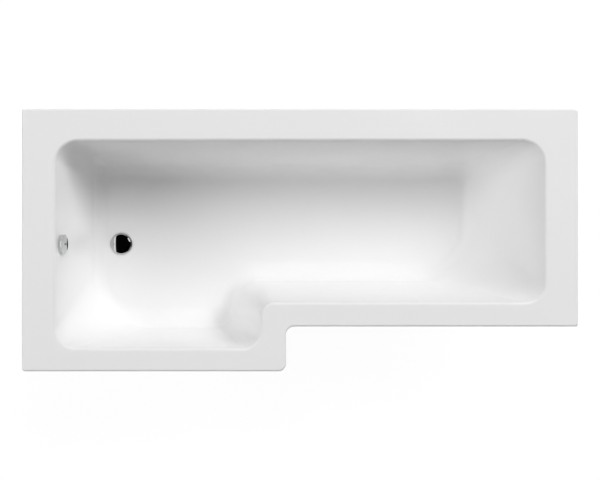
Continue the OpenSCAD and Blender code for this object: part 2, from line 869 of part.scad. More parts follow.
// Plastic waste body: cup, thread for the throat, threaded outlet and side inlet
module waste_body() {
    cup_flange_r = under_seal_r + seal_clear;
    thread_r = throat_r + thread_gap;
    shoulder_z = cup_low_z - thread_ring_h;
    color("whitesmoke")
        at_waste()
            difference() {
                union() {
                    translate([0, 0, cup_top_z - cup_flange_t])
                        cylinder(r = cup_flange_r, h = cup_flange_t);
                    translate([0, 0, tail_top_z + body_taper_h])
                        cylinder(r = cup_r, h = cup_top_z - tail_top_z - body_taper_h - fine);
                    translate([0, 0, tail_top_z])
                        cylinder(r1 = tail_r, r2 = cup_r, h = body_taper_h);
                    translate([0, 0, tail_low_z])
                        cylinder(r = tail_r, h = tail_length + fine);
                    translate([0, 0, inlet_z])
                        rotate([0, -90, 0])
                            cylinder(r = spigot_r, h = cup_r + spigot_length);
                }
                translate([0, 0, cup_low_z])
                    cylinder(r = cup_r_in, h = cup_depth + cut);
                translate([0, 0, shoulder_z])
                    cylinder(r = thread_r, h = thread_ring_h + cut);
                translate([0, 0, tail_low_z - cut])
                    cylinder(r = tail_r - body_wall, h = shoulder_z - tail_low_z + 2 * cut);
                translate([-cup_r - spigot_length, 0, inlet_z])
                    rotate([0, 90, 0]) {
                        translate([0, 0, -cut])
                            cylinder(r = inlet_r, h = cup_r + spigot_length - cup_r_in / 2);
                        translate([0, 0, -cut])
                            cylinder(r = socket_r, h = socket_depth + cut);
                    }
            }
}

// Brass sleeve that guides the post and holds the spring
module plug_sleeve() {
    color("goldenrod")
        at_waste()
            turned([
                [0, hub_low_z],
                [stem_r, hub_low_z],
                [stem_r, hub_top_z],
                [sleeve_r, hub_top_z],
                [sleeve_r, sleeve_top_z],
                [post_r + slip_gap, sleeve_top_z],
                [post_r + slip_gap, chamber_top_z],
                [chamber_r, chamber_top_z],
                [chamber_r, chamber_low_z],
                [0, chamber_low_z]
            ]);
}

// Coil spring that lifts the post; one tube wound by a formula
spring_low = chamber_low_z + spring_ends_gap + spring_wire_r;
spring_high = collar_z - spring_ends_gap - spring_wire_r;
spring_sides = 6;
spring_per_turn = 10;
spring_count = spring_turns * spring_per_turn;
function spring_centre(i) =
    let (a = 360 * i / spring_per_turn)
    [
        spring_r * cos(a), spring_r * sin(a),
        spring_low + (spring_high - spring_low) * i / spring_count
    ];
function spring_ring(i) =
    let (a = 360 * i / spring_per_turn)
    [
        for (k = [0:spring_sides - 1])
            let (b = 360 * k / spring_sides, out = spring_wire_r * cos(b))
            spring_centre(i) + [out * cos(a), out * sin(a), spring_wire_r * sin(b)]
    ];
spring_gap = min([
    for (i = [0:spring_count - spring_per_turn])
        norm(spring_centre(i + spring_per_turn) - spring_centre(i)) - 2 * spring_wire_r
]);

module plug_spring() {
    echo(str("least gap between the spring's turns: ", spring_gap, " mm"));
    color("silver")
        at_waste()
            loft(
                [for (i = [0:spring_count]) spring_ring(i)],
                [spring_centre(0), spring_centre(spring_count)]
            );
}

// Post that joins the plug to the pop-up sleeve; its collar stops the lift
module plug_post() {
    post_low_z = chamber_low_z + collar_clear;
    color("goldenrod")
        at_waste()
            turned([
                [0, post_low_z],
                [post_r, post_low_z],
                [post_r, collar_z],
                [collar_r, collar_z],
                [collar_r, collar_z + collar_h],
                [post_r, collar_z + collar_h],
                [post_r, plug_under_z - cut],
                [0, plug_under_z - cut]
            ]);
}

// Domed chrome plug with the boss that screws on to the post
module plug_dome_cap() {
    dome_r = (plug_r * plug_r + plug_dome * plug_dome) / (2 * plug_dome);
    dome_steps = 12;
    edge_z = plug_under_z + plug_edge_t;
    span = asin(plug_r / dome_r);
    bore_r = post_r + thread_gap;
    chamfer = 0.8;
    color("silver")
        at_waste()
            turned(concat(
                [
                    [0, plug_under_z],
                    [bore_r, plug_under_z],
                    [bore_r, plug_under_z - plug_boss_drop],
                    [plug_boss_r, plug_under_z - plug_boss_drop],
                    [plug_boss_r, plug_under_z],
                    [plug_r - chamfer, plug_under_z],
                    [plug_r, plug_under_z + chamfer]
                ],
                [
                    for (i = [0:dome_steps])
                        let (a = span * (1 - i / dome_steps))
                        [dome_r * sin(a), edge_z + plug_dome - dome_r * (1 - cos(a))]
                ]
            ));
}

// Rubber washer under the plug that closes on the flange's dish
module plug_seal() {
    color("black")
        at_waste()
            ring(plug_seal_r, plug_boss_r + slip_gap, plug_under_z - plug_seal_t, plug_under_z);
}

// Round chrome cover with a water slot in its lower edge
module overflow_cover() {
    slot_w = 34;
    ring_r = 15;
    edge_round = 2.4;
    face_rise = 0.9;
    color("silver")
        overflow_frame()
            difference() {
                turned([
                    [cover_r - cover_t, cover_seat_gap],
                    [cover_r, cover_seat_gap],
                    [cover_r, cover_h - edge_round],
                    [cover_r - edge_round * 0.3, cover_h - edge_round * 0.5],
                    [cover_r - edge_round, cover_h - face_rise],
                    [ring_r, cover_h],
                    [ring_r - cover_recess, cover_h - cover_recess],
                    [screw_r + slip_gap, cover_h - cover_recess],
                    [screw_r + slip_gap, front_washer_t + grid_t],
                    [boss_r, front_washer_t + grid_t],
                    [boss_r, cover_h - cover_t - cover_recess],
                    [cover_r - cover_t, cover_h - cover_t - edge_round]
                ]);
                translate([cover_r / 2, -slot_w / 2, cover_seat_gap - cut])
                    cube([cover_r, slot_w, cover_h / 2]);
            }
}

// Screw through the cover and grid into the elbow's spider
module overflow_screw() {
    head_z = cover_h - cover_recess;
    tip_z = spider_z + 1;
    head_bevel = 1;
    drive_r = 2.4;
    color("silver")
        overflow_frame()
            difference() {
                union() {
                    translate([0, 0, tip_z])
                        cylinder(r = screw_r, h = head_z - tip_z + fine);
                    translate([0, 0, head_z])
                        cylinder(
                            r1 = screw_head_r, r2 = screw_head_r - head_bevel, h = screw_head_h
                        );
                }
                translate([0, 0, head_z + screw_head_h / 2])
                    cylinder(r = drive_r, h = screw_head_h, $fn = 6);
            }
}

// Pierced plate that clamps the wall under the cover
module overflow_grid() {
    hole_r = 5;
    holes = 6;
    hole_circle_r = 15;
    color("gray")
        overflow_frame()
            difference() {
                translate([0, 0, front_washer_t])
                    cylinder(r = grid_r, h = grid_t);
                translate([0, 0, front_washer_t - cut])
                    cylinder(r = screw_r + slip_gap, h = grid_t + 2 * cut);
                for (i = [0:holes - 1])
                    rotate([0, 0, 360 * i / holes])
                        translate([hole_circle_r, 0, front_washer_t - cut])
                            cylinder(r = hole_r, h = grid_t + 2 * cut);
            }
}

module overflow_front_washer() {
    color("dimgray")
        overflow_frame()
            ring(grid_r, overflow_hole_r + seal_clear, 0, front_washer_t);
}

module overflow_back_seal() {
    color("dimgray")
        overflow_frame()
            ring(elbow_flange_r, overflow_hole_r + seal_clear, elbow_top, -wall_t);
}

// Plastic elbow behind the wall: cup, spider for the screw and a spigot straight down
module overflow_elbow() {
    arm_w = 4;
    boss_wall = 3.5;
    arm_from = screw_r + boss_wall / 2;
    color("whitesmoke") {
        difference() {
            union() {
                overflow_frame() {
                    translate([0, 0, elbow_top - elbow_flange_t])
                        cylinder(r = elbow_flange_r, h = elbow_flange_t);
                    translate([0, 0, elbow_low - elbow_wall])
                        cylinder(r = elbow_r, h = elbow_depth + elbow_wall - fine);
                }
                translate([hose_x, waste_y, spigot_low_z])
                    cylinder(r = spigot_r, h = elbow_mid_z - spigot_low_z);
            }
            overflow_frame()
                translate([0, 0, elbow_low])
                    cylinder(r = elbow_r_in, h = elbow_depth + cut);
            translate([hose_x, waste_y, spigot_low_z - cut])
                cylinder(r = inlet_r, h = elbow_mid_z - spigot_low_z + cut);
            translate([hose_x, waste_y, spigot_low_z - cut])
                cylinder(r = socket_r, h = socket_depth + cut);
        }
        overflow_frame()
            difference() {
                union() {
                    translate([0, 0, spider_z])
                        cylinder(r = screw_r + boss_wall, h = spider_h);
                    for (a = [60, 180, 300])
                        rotate([0, 0, a])
                            translate([arm_from, -arm_w / 2, spider_z])
                                cube([elbow_r_in + elbow_wall / 2 - arm_from, arm_w, spider_h]);
                }
                translate([0, 0, spider_z - cut])
                    cylinder(r = screw_r + thread_gap, h = spider_h + 2 * cut);
            }
    }
}

// Hose centre line as [x, z, heading], the heading 0 straight down and 90 along +X
function hose_at(s) =
    let (turn = (s - hose_down) / hose_bend_r * 180 / PI)
    s <= hose_down ? [hose_x, hose_start_z - s, 0]
    : s <= hose_down + hose_bend ? [
        hose_x + hose_bend_r * (1 - cos(turn)), inlet_z + hose_bend_r * (1 - sin(turn)), turn
    ]
    : [hose_x + hose_bend_r + s - hose_down - hose_bend, inlet_z, 90];
function hose_ring(s, r) =
    let (p = hose_at(s))
    [
        for (k = [0:hose_sides - 1])
            let (a = 360 * k / hose_sides)
            [
                p[0] + r * cos(a) * cos(p[2]),
                waste_y + r * sin(a),
                p[1] + r * cos(a) * sin(p[2])
            ]
    ];

// Ribbed overflow hose with smooth cuffs and an open bore
module overflow_hose() {
    color("lightgray")
        loft(concat(
            [hose_ring(0, hose_r), hose_ring(rib_start - rib_lead, hose_r)],
            [
                for (i = [0:2 * hose_ribs])
                    hose_ring(
                        rib_start + i * hose_pitch / 2, hose_root_r + (i % 2) * hose_rib
                    )
            ],
            [
                hose_ring(hose_length - rib_start + rib_lead, hose_r),
                hose_ring(hose_length, hose_r)
            ],
            [
                for (i = [0:bore_steps])
                    hose_ring(hose_length * (1 - i / bore_steps), hose_bore_d / 2)
            ]
        ));
}

// Hose nut with six grips, drawn with its open end at z = 0
module hose_nut() {
    grip_h = 1;
    grip_w = 6;
    r_in = spigot_r + thread_gap;
    r_out = r_in + hose_nut_wall - grip_h;
    color("dimgray")
        difference() {
            union() {
                cylinder(r = r_out, h = hose_nut_h);
                for (a = [0:60:300])
                    rotate([0, 0, a])
                        translate([0, -grip_w / 2, 0])
                            cube([r_out + grip_h, grip_w, hose_nut_h]);
            }
            translate([0, 0, -cut])
                cylinder(r = r_in, h = hose_nut_h - hose_nut_lip + cut);
            cylinder(r = hose_r + 2 * slip_gap, h = hose_nut_h + cut);
        }
}

// Seal ring squeezed between spigot and nut
module hose_seal() {
    color("black")
        ring(spigot_r - slip_gap, hose_r + slip_gap / 2, 0, hose_seal_t);
}

module hose_nut_upper() {
    translate([hose_x, waste_y, spigot_low_z - hose_seal_t + hose_nut_h - hose_nut_lip])
        rotate([180, 0, 0])
            hose_nut();
}

module hose_seal_upper() {
    translate([hose_x, waste_y, spigot_low_z - hose_seal_t])
        hose_seal();
}

module hose_nut_lower() {
    translate([inlet_end_x - hose_seal_t + hose_nut_h - hose_nut_lip, waste_y, inlet_z])
        rotate([0, -90, 0])
            hose_nut();
}

module hose_seal_lower() {
    translate([inlet_end_x, waste_y, inlet_z])
        rotate([0, -90, 0])
            hose_seal();
}

// Plastic foot pad with a ribbed skirt and the socket for the stud
module foot_pad(i) {
    rib_t = 3;
    ribs = 6;
    socket_r_out = stud_r + 5;
    base_t = 5;
    rib_r = pad_d / 2 - 1;
    rib_top = pad_h - 2;
    translate([foot_at[i][0], foot_at[i][1], 0])
        color("dimgray")
            difference() {
                union() {
                    cylinder(r = pad_d / 2, h = base_t);
                    cylinder(r = socket_r_out, h = pad_h);
                    for (a = [0:360 / ribs:359])
                        rotate([90, 0, a])
                            translate([0, 0, -rib_t / 2])
                                linear_extrude(rib_t)
                                    polygon([
                                        [0, fine], [rib_r, fine], [rib_r, base_t],
                                        [socket_r_out, rib_top], [0, rib_top]
                                    ]);
                }
                translate([0, 0, pad_h - pad_socket_depth])
                    cylinder(r = stud_r + slip_gap / 2, h = pad_socket_depth + cut);
            }
}

// Threaded stud that stands in the pad and passes through the cross-bar
module foot_stud(i) {
    low = pad_h - pad_socket_depth;
    length = board_low_z + stud_proud - low;
    chamfer = 1;
    translate([foot_at[i][0], foot_at[i][1], low])
        color("silver")
            turned([
                [0, 0],
                [stud_r - chamfer, 0],
                [stud_r, chamfer],
                [stud_r, length - chamfer],
                [stud_r - chamfer, length],
                [0, length]
            ]);
}

// Flanged nuts above and below the cross-bar's web
module foot_nuts(i) {
    translate([foot_at[i][0], foot_at[i][1], 0])
        color("silver") {
            translate([0, 0, board_low_z])
                flanged_nut();
            translate([0, 0, web_low_z])
                rotate([180, 0, 0])
                    flanged_nut();
        }
}

module flanged_nut() {
    difference() {
        union() {
            cylinder(r = nut_flange_r, h = nut_flange_t);
            cylinder(r = nut_flats / sqrt(3), h = nut_h, $fn = 6);
        }
        translate([0, 0, -cut])
            cylinder(r = stud_r + running_gap, h = nut_h + 2 * cut);
    }
}

tub_shell();
glass_fibre_backing();
baseboard();
batten_wall_side();
batten_waste_end();
batten_backrest_end();
batten_narrow_front();
batten_shower_front();
batten_step();
cradle_bar(0);  // cradle_bar_waste_end
cradle_bar(1);  // cradle_bar_middle
cradle_bar(2);  // cradle_bar_backrest_end
cradle_screws();
wall_bracket(bracket_xs[0]);  // wall_bracket_waste_end
wall_bracket(bracket_xs[1]);  // wall_bracket_backrest_end
bracket_screws();
waste_flange();
flange_seal();
under_seal();
waste_body();
plug_sleeve();
plug_spring();
plug_post();
plug_dome_cap();
plug_seal();
overflow_cover();
overflow_screw();
overflow_grid();
overflow_front_washer();
overflow_back_seal();
overflow_elbow();
overflow_hose();
hose_nut_upper();
hose_nut_lower();
hose_seal_upper();
hose_seal_lower();
foot_pad(0);  // foot_pad_1
foot_pad(1);  // foot_pad_2
foot_pad(2);  // foot_pad_3
foot_pad(3);  // foot_pad_4
foot_pad(4);  // foot_pad_5
foot_pad(5);  // foot_pad_6
foot_stud(0);  // foot_stud_1
foot_stud(1);  // foot_stud_2
foot_stud(2);  // foot_stud_3
foot_stud(3);  // foot_stud_4
foot_stud(4);  // foot_stud_5
foot_stud(5);  // foot_stud_6
foot_nuts(0);  // foot_nuts_1
foot_nuts(1);  // foot_nuts_2
foot_nuts(2);  // foot_nuts_3
foot_nuts(3);  // foot_nuts_4
foot_nuts(4);  // foot_nuts_5
foot_nuts(5);  // foot_nuts_6
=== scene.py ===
import math

import bmesh
import bpy
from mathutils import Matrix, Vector


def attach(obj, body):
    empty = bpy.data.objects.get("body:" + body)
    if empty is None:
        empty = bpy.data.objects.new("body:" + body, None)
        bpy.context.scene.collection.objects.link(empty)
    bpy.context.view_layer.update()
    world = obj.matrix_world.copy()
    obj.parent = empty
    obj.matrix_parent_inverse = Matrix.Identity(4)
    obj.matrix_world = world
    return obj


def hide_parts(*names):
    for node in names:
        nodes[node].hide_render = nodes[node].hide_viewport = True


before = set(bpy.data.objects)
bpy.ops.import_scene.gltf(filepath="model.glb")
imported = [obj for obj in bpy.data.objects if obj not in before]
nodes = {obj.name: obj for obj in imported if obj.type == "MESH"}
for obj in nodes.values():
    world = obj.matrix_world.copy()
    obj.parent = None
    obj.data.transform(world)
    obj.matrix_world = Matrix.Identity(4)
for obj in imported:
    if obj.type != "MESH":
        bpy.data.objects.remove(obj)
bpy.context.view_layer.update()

scene = bpy.context.scene
scene.view_settings.view_transform = "Standard"


# Camera, floor and light
# The bath lies on a white studio floor and is seen from straight above, from far off
# through a long lens, so that its walls show next to no perspective. Eleven softboxes stand
# round it, the strongest beyond its back right corner, and two cards show only in reflections.
def linear(code):
    """Turns an sRGB hex colour into the linear colour that a shader takes."""
    parts = [int(code[i:i + 2], 16) / 255 for i in (1, 3, 5)]
    return [c / 12.92 if c <= 0.04045 else ((c + 0.055) / 1.055) ** 2.4 for c in parts] + [1]


def add_node(tree, kind, settings=None, links=None, **choices):
    """Adds a shader node with its choices, its socket values and its incoming links."""
    node = tree.nodes.new(kind)
    for name, value in choices.items():
        setattr(node, name, value)
    for name, value in (settings or {}).items():
        node.inputs[name].default_value = value
    for name, source in (links or {}).items():
        tree.links.new(source, node.inputs[name])
    return node


def new_material(name):
    """An empty material and its node tree."""
    material = bpy.data.materials.new(name)
    material.use_nodes = True
    material.node_tree.nodes.clear()
    return material, material.node_tree


def seen_as_background(tree):
    """One for rays from the camera, off a mirror or through glass, and zero for all the others."""
    ray = add_node(tree, "ShaderNodeLightPath")
    seen_or_glossy = add_node(
        tree, "ShaderNodeMath",
        links={0: ray.outputs["Is Camera Ray"], 1: ray.outputs["Is Glossy Ray"]},
        operation="MAXIMUM")
    return add_node(
        tree, "ShaderNodeMath",
        links={0: seen_or_glossy.outputs[0], 1: ray.outputs["Is Transmission Ray"]},
        operation="MAXIMUM").outputs[0]


view_width = 1.9423
lens, sensor = 1300, 36
rim_z = 0.55
bpy.ops.object.camera_add(location=(0, 0, rim_z + view_width * lens / sensor), rotation=(0, 0, 0))
camera = bpy.context.object
camera.data.lens = lens
camera.data.sensor_width = sensor
camera.data.clip_start = 1
camera.data.clip_end = 200
scene.camera = camera

# Where it is looked at, most of the floor's paint gives way to an even glow, which keeps it
# white behind the bath; it lights the bath as plain paint
floor_size, floor_glow, glow_share = 24, 1.09, 0.88
bpy.ops.object.select_all(action="DESELECT")
bpy.ops.mesh.primitive_plane_add(size=floor_size, location=(0, 0, 0))
floor = bpy.context.object
floor.name = "studio_floor"
floor_paint, tree = new_material("matt white studio paint")
share = add_node(
    tree, "ShaderNodeMath", {1: glow_share}, {0: seen_as_background(tree)}, operation="MULTIPLY")
paint = add_node(tree, "ShaderNodeBsdfDiffuse", {"Color": linear("#E6E6E6")})
glow = add_node(tree, "ShaderNodeEmission", {"Strength": floor_glow})
both = add_node(
    tree, "ShaderNodeMixShader",
    links={0: share.outputs[0], 1: paint.outputs[0], 2: glow.outputs[0]})
# Its lower side is open, so that the underside of the bath can be looked at through it
face = add_node(tree, "ShaderNodeNewGeometry")
gone = add_node(tree, "ShaderNodeBsdfTransparent")
open_below = add_node(
    tree, "ShaderNodeMixShader",
    links={0: face.outputs["Backfacing"], 1: both.outputs[0], 2: gone.outputs[0]})
add_node(tree, "ShaderNodeOutputMaterial", links={"Surface": open_below.outputs[0]})
floor.data.materials.append(floor_paint)

# The air is white where it is looked at and gives no light of its own
world = bpy.data.worlds.new("studio air")
world.use_nodes = True
scene.world = world
tree = world.node_tree
tree.nodes.clear()
white_air = add_node(
    tree, "ShaderNodeBackground", {"Color": linear("#FFFFFF")},
    {"Strength": seen_as_background(tree)})
add_node(tree, "ShaderNodeOutputWorld", links={"Surface": white_air.outputs[0]})


def towards(azimuth, elevation, distance):
    """A place in a compass direction from the middle of the well, in degrees and metres."""
    across, up = math.radians(azimuth), math.radians(elevation)
    return Vector((
        distance * math.cos(across) * math.cos(up), distance * math.sin(across) * math.cos(up),
        well_middle_z + distance * math.sin(up)))


well_middle_z, lamp_distance, lamp_size = 0.35, 14, 4.7
for name, azimuth, elevation, power in (
    ("key_softbox", 45, 40, 620),
    ("key_softbox_low", 45, 25, 148),
    ("right_softbox", 30, 45, 277),
    ("right_softbox_low", 30, 30, 122),
    ("wall_side_softbox", 100, 65, 410),
    ("wall_side_softbox_low", 80, 45, 125),
    ("top_softbox", 90, 88, 62),
    ("left_back_softbox", 165, 30, 136),
    ("left_softbox", 190, 40, 267),
    ("left_softbox_low", 190, 25, 93),
    ("left_front_softbox", 220, 25, 250),
):
    place = towards(azimuth, elevation, lamp_distance)
    bpy.ops.object.light_add(type="AREA", location=place)
    lamp = bpy.context.object
    lamp.name = name
    lamp.data.size = lamp_size
    lamp.data.energy = power
    lamp.rotation_euler = (towards(0, 0, 0) - place).to_track_quat("-Z", "Y").to_euler()
    lamp.visible_glossy = False


def hang_card(name, size, place, target, colour, glow):
    """A plain card that only reflections see."""
    bpy.ops.object.select_all(action="DESELECT")
    bpy.ops.mesh.primitive_plane_add(size=1, location=place)
    card = bpy.context.object
    card.name = name
    card.scale = (size[0], size[1], 1)
    card.rotation_euler = (Vector(place) - Vector(target)).to_track_quat("Z", "Y").to_euler()
    cloth, tree = new_material(name)
    face = add_node(tree, "ShaderNodeEmission", {"Color": linear(colour), "Strength": glow})
    add_node(tree, "ShaderNodeOutputMaterial", links={"Surface": face.outputs[0]})
    card.data.materials.append(cloth)
    card.visible_camera = False
    card.visible_diffuse = False
    card.visible_transmission = False
    card.visible_shadow = False


# A black card overhead and a small bright one under it show in the chrome
hang_card("dark_flag", (7.36, 6.6), (2.32, 0, 2.3), (2.32, 0, 0), "#050505", 1)
hang_card(
    "glint_card", (0.5, 0.13), (0.365, 0.511, 2.0), (-0.585, -0.015, 0.157), "#FFFFFF", 1.3)


# Acrylic shell
# One sheet of cast acrylic, thermoformed over a mould into the well, the flat rim and the
# turned-down lip, then trimmed and drilled for the waste and the overflow.
LEFT, SHOWER, STEP, NARROW, RIGHT, BACK = range(6)
rim_edge = [-0.9, -0.425, -0.045, -0.28, 0.9, 0.425]
inward = [1, 1, -1, 1, -1, -1]
deck = [0.099, 0.0645, 0.073, 0.0685, 0.099, 0.0945]
lean = [18.5, 11, 15, 11.5, 31.5, 12.5]
fillet_r = [0.05, 0.07, 0.07, 0.07, 0.07, 0.07]
well_depth = 0.4
floor_z = rim_z - well_depth
well_roll = 0.01
edge_roll = 0.006
lip_z = 0.512
acrylic_t = 0.005
floor_fall = 0.008
waste = Vector((-0.582, -0.013, 0))
corner_start = [180, 270, 180, 270, 0, 90]
corner_turn = [1, 1, -1, 1, 1, 1]
rim_r = [0.009, 0.025, 0.026, 0.009, 0.009, 0.009]
open_r = [0.076, 0.072, 0.035, 0.076, 0.084, 0.084]
foot_r = [0.175, 0.06, 0.09, 0.175, 0.052, 0.052]
least_floor_r, floor_r_step = 0.015, 0.07
floor_r = [max(least_floor_r, foot_r[c] - corner_turn[c] * floor_r_step) for c in range(6)]
corner_steps = 20
straight_steps = [16, 2, 24, 12, 40, 40]


def cosd(angle):
    return math.cos(math.radians(angle))


def sind(angle):
    return math.sin(math.radians(angle))


def line_at(side, inset):
    return rim_edge[side] + inward[side] * inset


def floor_inset(side):
    arc = well_roll + fillet_r[side]
    return deck[side] + (arc + (well_depth - arc) * sind(lean[side])) / cosd(lean[side])


floor_left = line_at(LEFT, floor_inset(LEFT))
fall_slope = floor_fall / (line_at(RIGHT, floor_inset(RIGHT)) - floor_left)
deck_under_z = 0.542


def fallen(point):
    """Tilts the well about the foot of the waste end wall, fading out under the rim."""
    x, y, z = point
    fade = max(0, deck_under_z - z) / (deck_under_z - floor_z)
    return Vector((x, y, z + fall_slope * max(0, x - floor_left) * fade))


# The two corners of the step shrink together where they would take more of it than this
step_fill = 0.97


def ring_round(insets, radii, heights):
    """One closed ring of points with its own inset, corner radius and height all round."""
    step = line_at(NARROW, insets[NARROW]) - line_at(SHOWER, insets[SHOWER])
    share = min(1, step * step_fill / (radii[1] + radii[2]))
    arcs = []
    for c in range(6):
        across, along = (c, c + 1) if c % 2 == 0 else ((c + 1) % 6, c)
        radius = radii[c] * (share if c in (1, 2) else 1)
        middle = corner_start[c] + corner_turn[c] * 45
        arc = []
        for i in range(corner_steps + 1):
            angle = corner_start[c] + corner_turn[c] * 90 * i / corner_steps
            arc.append(Vector((
                line_at(across, insets[across])
                + radius * (cosd(angle) - math.copysign(1, cosd(middle))),
                line_at(along, insets[along])
                + radius * (sind(angle) - math.copysign(1, sind(middle))),
                heights[c] + (heights[(c + 1) % 6] - heights[c]) * i / corner_steps,
            )))
        arcs.append(arc)
    points = []
    for c, arc in enumerate(arcs):
        start, end = arc[-1], arcs[(c + 1) % 6][0]
        points += arc
        points += [start.lerp(end, i / straight_steps[c]) for i in range(1, straight_steps[c])]
    return points


def rim_ring(inset, z):
    return ring_round(
        [inset] * 6, [max(0.001, rim_r[c] - corner_turn[c] * inset) for c in range(6)], [z] * 6)


def wall_point(side, stage, depth):
    """Inset and height on a wall: to 1 the roll at the rim, to 2 the wall, to 3 its fillet."""
    def roll(angle):
        r = well_roll - depth
        return Vector((deck[side] + r * cosd(angle), rim_z - well_roll + r * sind(angle)))

    def fillet(angle):
        r = fillet_r[side] + depth
        return Vector((
            floor_inset(side) - r * cosd(angle), floor_z + fillet_r[side] - r * sind(angle)))

    if stage <= 1:
        return roll(90 - stage * (90 - lean[side]))
    if stage < 2:
        return roll(lean[side]).lerp(fillet(lean[side]), stage - 1)
    return fillet(lean[side] + (stage - 2) * (90 - lean[side]))


def corner_radius(c, stage, depth):
    wall_top = open_r[c] - corner_turn[c] * well_roll
    spread = sind(90 * stage) if stage <= 1 else 1 if stage < 2 else cosd(90 * (stage - 2))
    if stage <= 1:
        radius = open_r[c] + (wall_top - open_r[c]) * sind(90 * stage)
    elif stage < 2:
        radius = wall_top + (foot_r[c] - wall_top) * (stage - 1)
    else:
        radius = foot_r[c] + (floor_r[c] - foot_r[c]) * (1 - cosd(90 * (stage - 2)))
    return radius + corner_turn[c] * depth * spread


def well_ring(stage, depth):
    section = [wall_point(side, stage, depth) for side in range(6)]
    return [fallen(p) for p in ring_round(
        [p.x for p in section], [corner_radius(c, stage, depth) for c in range(6)],
        [p.y for p in section])]


def towards_waste(ring, centre, share, radius):
    """The floor between a ring and a circle round the waste, on straight lines to its centre."""
    points = []
    for p in ring:
        away = (p - centre).to_2d().length
        points.append(p.lerp(centre, share * (1 - radius / away)))
    return points


def waste_circle(ring, radius, z):
    """A circle round the waste whose points lie under those of a ring."""
    points = []
    for p in ring:
        out = (p - waste).to_2d().normalized() * radius
        points.append(Vector((waste.x + out.x, waste.y + out.y, z)))
    return points


def place_ring(piece, points):
    mesh = bmesh.from_edit_mesh(piece.data)
    order = mesh.verts.layers.int["order"]
    for v in mesh.verts:
        if v.select:
            v.co = points[v[order]]
    bmesh.update_edit_mesh(piece.data)


def drawn_through(name, rings, looped=False):
    """A skin extruded from the first ring through all the others, or round to the first again."""
    bpy.ops.object.select_all(action="DESELECT")
    bpy.ops.mesh.primitive_circle_add(vertices=len(rings[0]), radius=1)
    piece = bpy.context.object
    piece.name = name
    bpy.ops.object.mode_set(mode="EDIT")
    mesh = bmesh.from_edit_mesh(piece.data)
    order = mesh.verts.layers.int.new("order")
    for i, v in enumerate(mesh.verts):
        v[order] = i
    place_ring(piece, rings[0])
    for points in rings[1:] + ([rings[0]] if looped else []):
        bpy.ops.mesh.extrude_edges_move()
        place_ring(piece, points)
    bpy.ops.mesh.select_all(action="SELECT")
    bpy.ops.mesh.remove_doubles(threshold=0.000005)
    bpy.ops.mesh.normals_make_consistent(inside=False)
    bpy.ops.object.mode_set(mode="OBJECT")
    return piece


def pick(piece):
    """Makes a piece the active one and the only one selected."""
    bpy.ops.object.select_all(action="DESELECT")
    piece.select_set(True)
    bpy.context.view_layer.objects.active = piece


def use_modifier(piece, kind, **settings):
    """Adds a modifier with its settings and applies it."""
    pick(piece)
    modifier = piece.modifiers.new(kind.lower(), kind)
    for name, value in settings.items():
        setattr(modifier, name, value)
    bpy.ops.object.modifier_apply(modifier=modifier.name)


def settle(piece):
    """Puts a finished piece's turn and place into its mesh."""
    pick(piece)
    bpy.ops.object.transform_apply(location=True, rotation=True, scale=True)


def put(piece, place, turn=(0, 0, 0)):
    """Turns a piece made about the origin and moves it to its place."""
    piece.rotation_euler = turn
    piece.location = place
    settle(piece)


def smooth(piece, angle=30):
    pick(piece)
    bpy.ops.object.shade_smooth_by_angle(angle=math.radians(angle))


def dress(piece, body, slot, material, *replaced):
    """Gives a finished piece its material and says what it rides on and stands for."""
    piece.data.materials.clear()
    piece.data.materials.append(material)
    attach(piece, body)
    if replaced:
        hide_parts(*replaced)


def combine(piece, other, operation):
    """Joins another piece to this one as a solid, or cuts its shape out, and clears it away."""
    use_modifier(piece, "BOOLEAN", object=other, operation=operation, solver="EXACT")
    bpy.data.objects.remove(other)


def bore(piece, radius, length, place, turn=(0, 0, 0)):
    """Drills a round hole with a cutter of that radius and length about its middle."""
    bpy.ops.object.select_all(action="DESELECT")
    bpy.ops.mesh.primitive_cylinder_add(
        vertices=64, radius=radius, depth=length, location=place, rotation=turn)
    combine(piece, bpy.context.object, "DIFFERENCE")


# The floor falls on straight lines to a shallow dip, and the flange's seat is pressed into it
waste_dip, seat_drop = 0.001, 0.001
drain_r, seat_r, dip_r = 0.026, 0.039, 0.041
seat_round, seat_crease = 0.0004, 0.0003
dip = fallen((waste.x, waste.y, floor_z)) - Vector((0, 0, waste_dip))
seat_z = dip.z - seat_drop
wall_stages = [1, 1.015, 1.25, 1.5, 1.75, 1.985]
roll_stages = [i / 8 for i in range(8)]
fillet_stages = [2 + i / 14 for i in range(15)]
well_stages = roll_stages + wall_stages + fillet_stages
floor_shares = [1, 0.93, 0.84, 0.72, 0.58, 0.44, 0.3, 0.18, 0.09, 0.03]
foot = well_ring(3, 0)
opening = well_ring(0, 0)
deck_edge = rim_ring(edge_roll, rim_z)
shell_rings = [
    waste_circle(foot, drain_r, seat_z),
    waste_circle(foot, seat_r - seat_round, seat_z),
    waste_circle(foot, seat_r, seat_z + seat_round),
    [p - Vector((0, 0, seat_crease)) for p in towards_waste(foot, dip, 1, seat_r)],
    towards_waste(foot, dip, 1, seat_r + seat_round),
]
shell_rings += [towards_waste(foot, dip, share, dip_r) for share in floor_shares]
shell_rings += [well_ring(stage, 0) for stage in reversed(well_stages)]
shell_rings += [
    [a.lerp(b, share) for a, b in zip(opening, deck_edge)]
    for share in (0.03, 0.35, 0.7, 0.97)]
shell_rings += [
    rim_ring(edge_roll * (1 - sind(a)), rim_z - edge_roll * (1 - cosd(a)))
    for a in (0, 11, 22, 34, 45, 56, 68, 79, 90)]
shell_rings += [rim_ring(0, 0.543), rim_ring(0, lip_z + 0.001), rim_ring(0, lip_z)]
shell = drawn_through("acrylic_shell", shell_rings)
if max(shell.data.polygons, key=lambda f: f.center.z).normal.z < 0:
    shell.data.flip_normals()
